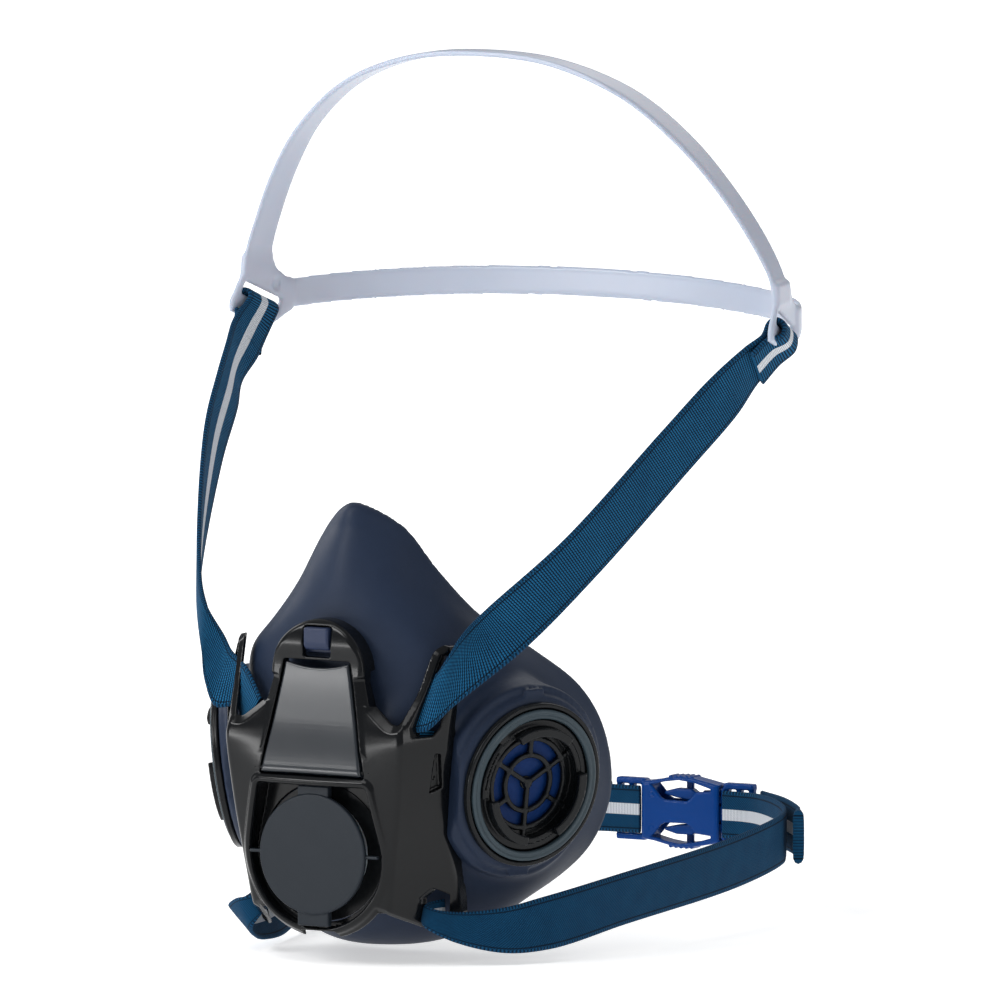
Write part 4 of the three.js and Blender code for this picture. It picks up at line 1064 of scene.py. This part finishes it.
def strap(name, edge_a, edge_b, looks, width, part=slice(None), thickness=THICKNESS):
    """A strip of webbing between two edge curves, with a look for each of its faces."""
    rings = strip_rings(edge_a, edge_b, thickness, ACROSS, crown=0.12, edge=0.7)[part]
    points, quads = skin_rings(rings)
    count, n = rings.shape[:2]
    obj = new_object(name, points, quads)
    capped = np.ones(len(quads), bool)
    capped[(count - 1) * n :] = False
    obj.data.polygons.foreach_set("use_smooth", capped)
    for look in looks:
        obj.data.materials.append(look)
    middle = (edge_a + edge_b) / 2
    steps = np.linalg.norm(np.diff(middle, axis=0), axis=1)
    along = np.concatenate([[0], np.cumsum(steps)])[part]
    share = (1 - np.cos(np.linspace(0, math.pi, ACROSS + 1))) / 2
    u = np.concatenate([share, share[-2:0:-1]]) * width
    uv = np.stack([np.tile(u, count), np.repeat(along, n)], 1) * MM
    layer = obj.data.uv_layers.new(name="weave")
    layer.data.foreach_set("uv", uv[quads.ravel()].astype(np.float32).ravel())
    side = np.zeros(len(quads), np.int32)
    body = np.arange((count - 1) * n) % n
    side[: (count - 1) * n] = body >= ACROSS
    obj.data.polygons.foreach_set("material_index", side)
    return obj


def smooth_edges(pairs):
    """Two edge curves through pairs of points, each given as six numbers."""
    dense = catmull(pairs, 12, dims=6)
    return dense[:, :3], dense[:, 3:]


def pairs_of(rows, width):
    """The pairs of edge points at a strip's rows."""
    a, b = edges_of(rows, width, 10)
    return np.hstack([a[::10], b[::10]]).tolist()


def at_corner(sign, out, back, z, across_back, across_z, half):
    """A pair of edge points in the cradle corner's own frame."""
    reach = sign * half
    ends = [corner_point(out, back + k * across_back, z + k * across_z, sign) for k in (-reach, reach)]
    return np.concatenate(ends).tolist()


def strap_loop(sign):
    """The strap's way up inside the corner's bar, through the slot, and down outside, where it is sewn."""
    out, back, z = (-6.3, -8.8, 103.2) if sign > 0 else (-5.0, -10.6, 102.6)
    pairs = [
        at_corner(sign, out, back, z, 0.66, -0.75, 7.8),
        at_corner(sign, -3.1, -4.9, 107.0, 0.76, -0.65, 7.3),
        at_corner(sign, -2.7, -2.1, 109.6, 0.88, -0.48, 6.9),
    ]
    for degrees in range(20, 165, 28):
        a = math.radians(degrees)
        rise = 2.6 * math.sin(a)
        pairs.append(at_corner(
            sign, -2.6 * math.cos(a), BAR_BACK + 0.391 * rise, BAR_Z + 0.92 * rise, 0.92, -0.39, 6.8))
    pairs += [
        at_corner(sign, 2.5, -2.0, 109.4, 0.90, -0.44, 6.9),
        at_corner(sign, -1.1, -4.7, 106.9, 0.80, -0.60, 7.2),
        at_corner(sign, -4.5, -8.9, 102.4, 0.74, -0.67, 7.4),
    ]
    return pairs


UPPER_RIGHT_FOOT = [
    [30.2, -70.6, 20.2, 28.4, -77.6, 5.4],
    [33.4, -70.6, 22.4, 30.9, -78.0, 5.6],
    [35.7, -70.0, 26.6, 33.6, -77.0, 6.4],
    [37.6, -66.8, 31.8, 38.0, -70.8, 12.6],
    [39.6, -56, 38.6, 49.5, -52.4, 27.0],
]
UPPER_RIGHT = [
    [58, -35, 52, 0.92, -0.38, 0], [72, -4, 81, 0.95, -0.3, 0], [78.7, 11.5, 95.2, 0.98, -0.2, 0],
]
UPPER_LEFT_FOOT = [
    [-24.5, -80.5, 3.5, -19.5, -79.3, 12.5],
    [-29.6, -75.2, 8.6, -27, -74.6, 20.5],
    [-32.5, -73.6, 9.0, -31.5, -71.3, 22.5],
    [-38.5, -73.5, 8.8, -35.6, -68.9, 24.6],
    [-42, -73, 15.5, -39.5, -66, 28],
    [-45.8, -68.5, 25.5, -48, -62, 36.5],
]
UPPER_LEFT = [
    [-61, -44, 46, -0.9, -0.4, 0.1], [-74, -14, 76, -1, -0.1, 0], [-79.5, 3.5, 90, -1, 0, 0],
    [-82.3, 11.8, 96.8, -0.95, -0.1, 0],
]
for side_name, sign, foot, rows in (
    ("right", 1, UPPER_RIGHT_FOOT, UPPER_RIGHT), ("left", -1, UPPER_LEFT_FOOT, UPPER_LEFT),
):
    pairs = foot + pairs_of(rows, UPPER_WIDTH) + strap_loop(sign)
    edge_a, edge_b = smooth_edges(pairs)
    upper = strap("upper_strap_" + side_name + "_webbing", edge_a, edge_b, UPPER_LOOKS, UPPER_WIDTH)
    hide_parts("upper_strap_" + side_name)
    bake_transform(upper)

NECK_RIGHT = [
    [28.7, -60.1, -46.4, -0.89, 0.46, 0, 0.4], [26.9, -64.6, -46.6, -0.85, 0, 0, 0.36],
    [27.3, -68.6, -47, -0.3, -0.95, 0, 0.36], [30.6, -69.6, -48.4, 0.75, -0.65, 0, 0.42],
    [36, -64, -50.8, 0.9, -0.4, 0.1, 0.6], [46, -56, -51.8, 0.95, -0.3, 0.1, 0.86],
    [53, -44.8, -50.5, 0.97, -0.2, 0.1], [60, -12.9, -46.4, 1, 0, 0], [62, 45, -42.3, 1, 0.05, 0],
    [59.5, 77, -39.3, 0.9, 0.35, 0], [53.5, 91, -38.6, 0.7, 0.7, 0], [42, 106, -38.4, 0.5, 0.85, 0],
    [29, 118.2, -38.4, 0.2, 0.98, 0, 0.94], [23.5, 120.3, -38.4, 0.04, 1, 0, 0.92],
    [16.6, 120.7, -38.4, -0.04, 1, 0, 0.92],
]
NECK_LEFT = [
    [-28.7, -60.1, -46.4, 0.89, 0.46, 0, 0.4], [-26.9, -64.6, -46.6, 0.85, 0, 0, 0.36],
    [-27.3, -68.6, -47.4, 0.3, -0.95, -0.2, 0.4], [-31, -69, -49.6, -0.7, -0.5, -0.5, 0.6],
    [-36.5, -61, -53.4, -0.7, -0.3, -0.7, 0.86], [-41, -42, -54.2, -0.75, -0.2, -0.6],
    [-52, 5, -48.5, -1, -0.1, 0], [-58, 45, -45, -1, 0.05, 0], [-57, 80, -42, -0.9, 0.4, 0],
    [-45, 107, -39.5, -0.5, 0.85, 0], [-26, 118.4, -38.4, -0.2, 0.98, 0, 0.94],
    [-17.5, 119.5, -38.4, -0.04, 1, 0, 0.92], [-10.4, 119.9, -38.4, 0.04, 1, 0, 0.92],
]
FREE_END_RIGHT = [
    [27, 125, -38.4, 0.3, 0.95, 0, 0.95], [43, 110, -38.4, 0.5, 0.85, 0], [56, 94.5, -38.4, 0.7, 0.7, 0],
    [61.5, 85, -38.3, 0.85, 0.5, 0],
]
FREE_END_LEFT = [
    [-22, 124.2, -38.4, -0.2, 0.98, 0, 0.95], [-42, 115.5, -38.8, -0.6, 0.8, 0],
    [-54, 102, -39.2, -0.85, 0.5, 0],
]


edge_a, edge_b = edges_of(NECK_RIGHT, NECK_WIDTH, 14)
cut = 10 * 14  # the strap's two pieces meet at its eleventh row
front = slice(None, cut + 1)
front_strap = strap("neck_strap_right_front", edge_a, edge_b, NECK_LOOKS, NECK_WIDTH, part=front)
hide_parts("neck_strap_right")
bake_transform(front_strap)
rear_strap = strap("neck_strap_right_rear", edge_a, edge_b, NECK_LOOKS, NECK_WIDTH, part=slice(cut, None))
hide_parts("neck_strap_right")
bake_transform(rear_strap)

edge_a, edge_b = edges_of(NECK_LEFT, NECK_WIDTH, 14)
left_strap = strap("neck_strap_left_webbing", edge_a, edge_b, NECK_LOOKS, NECK_WIDTH)
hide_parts("neck_strap_left")
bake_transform(left_strap)


def free_end(name, rows, body, node):
    """The strap's loose end behind the neck, folded over at its tip and sewn."""
    edge_a, edge_b = edges_of(rows, NECK_WIDTH, 14)
    tail = strap(name, edge_a, edge_b, NECK_LOOKS, NECK_WIDTH)
    on = unit(edge_a[-1] - edge_a[-2])
    reach = np.linspace(0, 4.5, 8)[:, None]
    wider = unit(edge_b[-1] - edge_a[-1]) * 0.2
    hem = strap(
        name + "_hem", edge_a[-1] - wider + on * reach, edge_b[-1] + wider + on * reach,
        (NECK_OUTER, NECK_OUTER), NECK_WIDTH, thickness=3.2)
    for piece in (tail, hem):
        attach(piece, body)
        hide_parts(node)


free_end("strap_end_right_webbing", FREE_END_RIGHT, "plug", "strap_end_right")
free_end("strap_end_left_webbing", FREE_END_LEFT, "neck_loop", "strap_end_left")


def strap_run(sign):
    """The webbing between a wing's two slots, along the wing's inner surface."""
    rows = []
    depth = FRAME_WALL + 0.6 + THICKNESS / 2
    for z in (6, -2, -12, -22, -31, -39):
        rx, ry, ex, ey, size = wing_at(z)
        nx, ny = ey / size, -ex / size
        rows.append([sign * (rx + ex * 0.56 - nx * depth), ry + ey * 0.56 - ny * depth, z, sign * nx, ny, 0])
    return rows


for side_name, sign in SIDES.items():
    edge_a, edge_b = edges_of(strap_run(sign), 9, 8)
    hidden = strap("strap_run_" + side_name + "_webbing", edge_a, edge_b, UPPER_LOOKS, UPPER_WIDTH)
    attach(hidden, "mask")
    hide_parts("strap_run_" + side_name)

# ---- buckle

BUCKLE_CENTRE = np.array([3.3, 122.5, -38.4])
BUCKLE_TURN = math.radians(2)
BUCKLE_SQUEEZE = 0.9
c, s = math.cos(BUCKLE_TURN), math.sin(BUCKLE_TURN)
BUCKLE_PLACE = (np.array([[c, -s, 0], [s, c, 0], [0, 0, 1]]), BUCKLE_CENTRE)
SOCKET = [(-13, 0), (-13, 9.2), (-9, 9.8), (-5, 10.8), (-1, 11.4), (3, 11.3), (8, 10.2), (12, 9.3), (12, 0)]
BOW_WINDOW = [
    (-9.8, 8.4), (-8.6, 7.0), (-6.6, 4.4), (-5.2, 3.7), (1.6, 3.6), (3.0, 4.6), (4.6, 6.7), (9.4, 7.2),
    (9.4, 7.9), (4, 9.6), (-1, 10.2), (-5.5, 9.5),
]
LATCH = [
    (12.1, 3.3), (12.1, 5.5), (4.6, 5.8), (2.6, 7.4), (-2.4, 7.4), (-6.2, 6.3), (-6.2, 5.3), (-2, 4.3),
    (4, 3.5),
]


def ladder(x, y, z, x0, x1):
    """A frame of bars that the strap threads round."""
    middle = (x0 + x1) / 2
    made = block(x, y, np.abs(z), (x0, -1.6, 8), (x1, 1.6, 10), 0.6)
    for at in (x0, middle - 0.8, x1 - 1.6):
        made = smin(made, block(x, y, z, (at, -1.3, -9), (at + 1.6, 1.3, 9), 0.6), 0.5)
    return made


def socket_field(x, y, z):
    z = z / BUCKLE_SQUEEZE
    high = np.abs(z)
    body = smax(outline(SOCKET + [(12, -1), (-13, -1)], x, high), np.abs(y) - 3.2, 1.2)
    mouth = block(x, y, z, (-9.5, -2.2, -8.6), (20, 2.2, 8.6), 0.5)
    window = outline(BOW_WINDOW, x, high)
    body = smax(smax(body, -window, 0.6), -mouth, 0.3)
    post = block(x, y, high, (-0.8, 1.8, 3), (1.4, 2.9, 10.6), 0.3)
    body = smin(body, post, 0.3)
    ribs = []
    for k in range(5):
        at = -3.8 + 1.7 * k
        ribs.append(np.hypot(x - at, high - 11.35 + abs(k - 2.4) * 0.08) - 0.55)
    body = smin(body, smax(join(*ribs), np.abs(y) - 2.7, 0.4), 0.3)
    mark = np.hypot(np.hypot(x + 9.6, high - 5.4) - 0.75, np.abs(y) - 3.25) - 0.16
    return smin(smax(body, -mark, 0.1), ladder(x, y, z, -22, -12.4), 0.6)


def plug_field(x, y, z):
    z = z / BUCKLE_SQUEEZE
    guide = block(x, y, z, (-6.5, -1.5, -2.4), (13.2, 1.5, 2.4), 0.5)
    collar = block(x, y, z, (12.4, -2, -8.3), (13.4, 2, 8.3), 0.4)
    return smin(smin(guide, collar, 0.5), ladder(x, y, z, 12.8, 22.4), 0.5)


def latch_field(sign):
    return lambda x, y, z: smax(outline(LATCH, x, sign * z / BUCKLE_SQUEEZE), np.abs(y) - 1.5, 0.6)


for name, field, low, high, body in (
    ("buckle_socket", socket_field, (-23, -4, -13), (13, 4, 13), "neck_loop"),
    ("buckle_plug", plug_field, (-8, -3, -11), (24, 3, 11), "plug"),
    ("latch_arm_upper", latch_field(1), (-7, -2, 2.5), (13, 2, 8.5), "upper_latch"),
    ("latch_arm_lower", latch_field(-1), (-7, -2, -8.5), (13, 2, -2.5), "lower_latch"),
):
    piece = field_mesh(name + "_moulding", field, low, high, BUCKLE_VOXEL, BUCKLE_PLACE)
    placed(piece, "buckle_blue", body, name)

# ---- hidden pieces, and the end

NODE_LOOKS = {
    "cover_hinge_pin": "frame_plastic", "exhaust_valve_seat": "port_plastic", "exhaust_flap": "flap_clear",
    "port_locking_ring_right": "port_plastic", "port_locking_ring_left": "port_plastic",
    "inlet_flap_right": "flap_blue", "inlet_flap_left": "flap_blue",
}
for node, look in NODE_LOOKS.items():
    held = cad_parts[node]
    for place in held.material_slots:
        place.material = FINISH[look]

spring_rows = [[4.6 * t, -78.05 + 1.8 * t * t, 30.8, 0, -1, 0] for t in (-1, -0.6, 0, 0.6, 1)]
edge_a, edge_b = edges_of(spring_rows, 3.4, 8)
points, quads = skin_rings(strip_rings(edge_a, edge_b, 0.3, 6))
spring = new_object("button_spring_leaf", points, quads)
placed(spring, "steel", "mask", "button_spring")
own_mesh(spring)
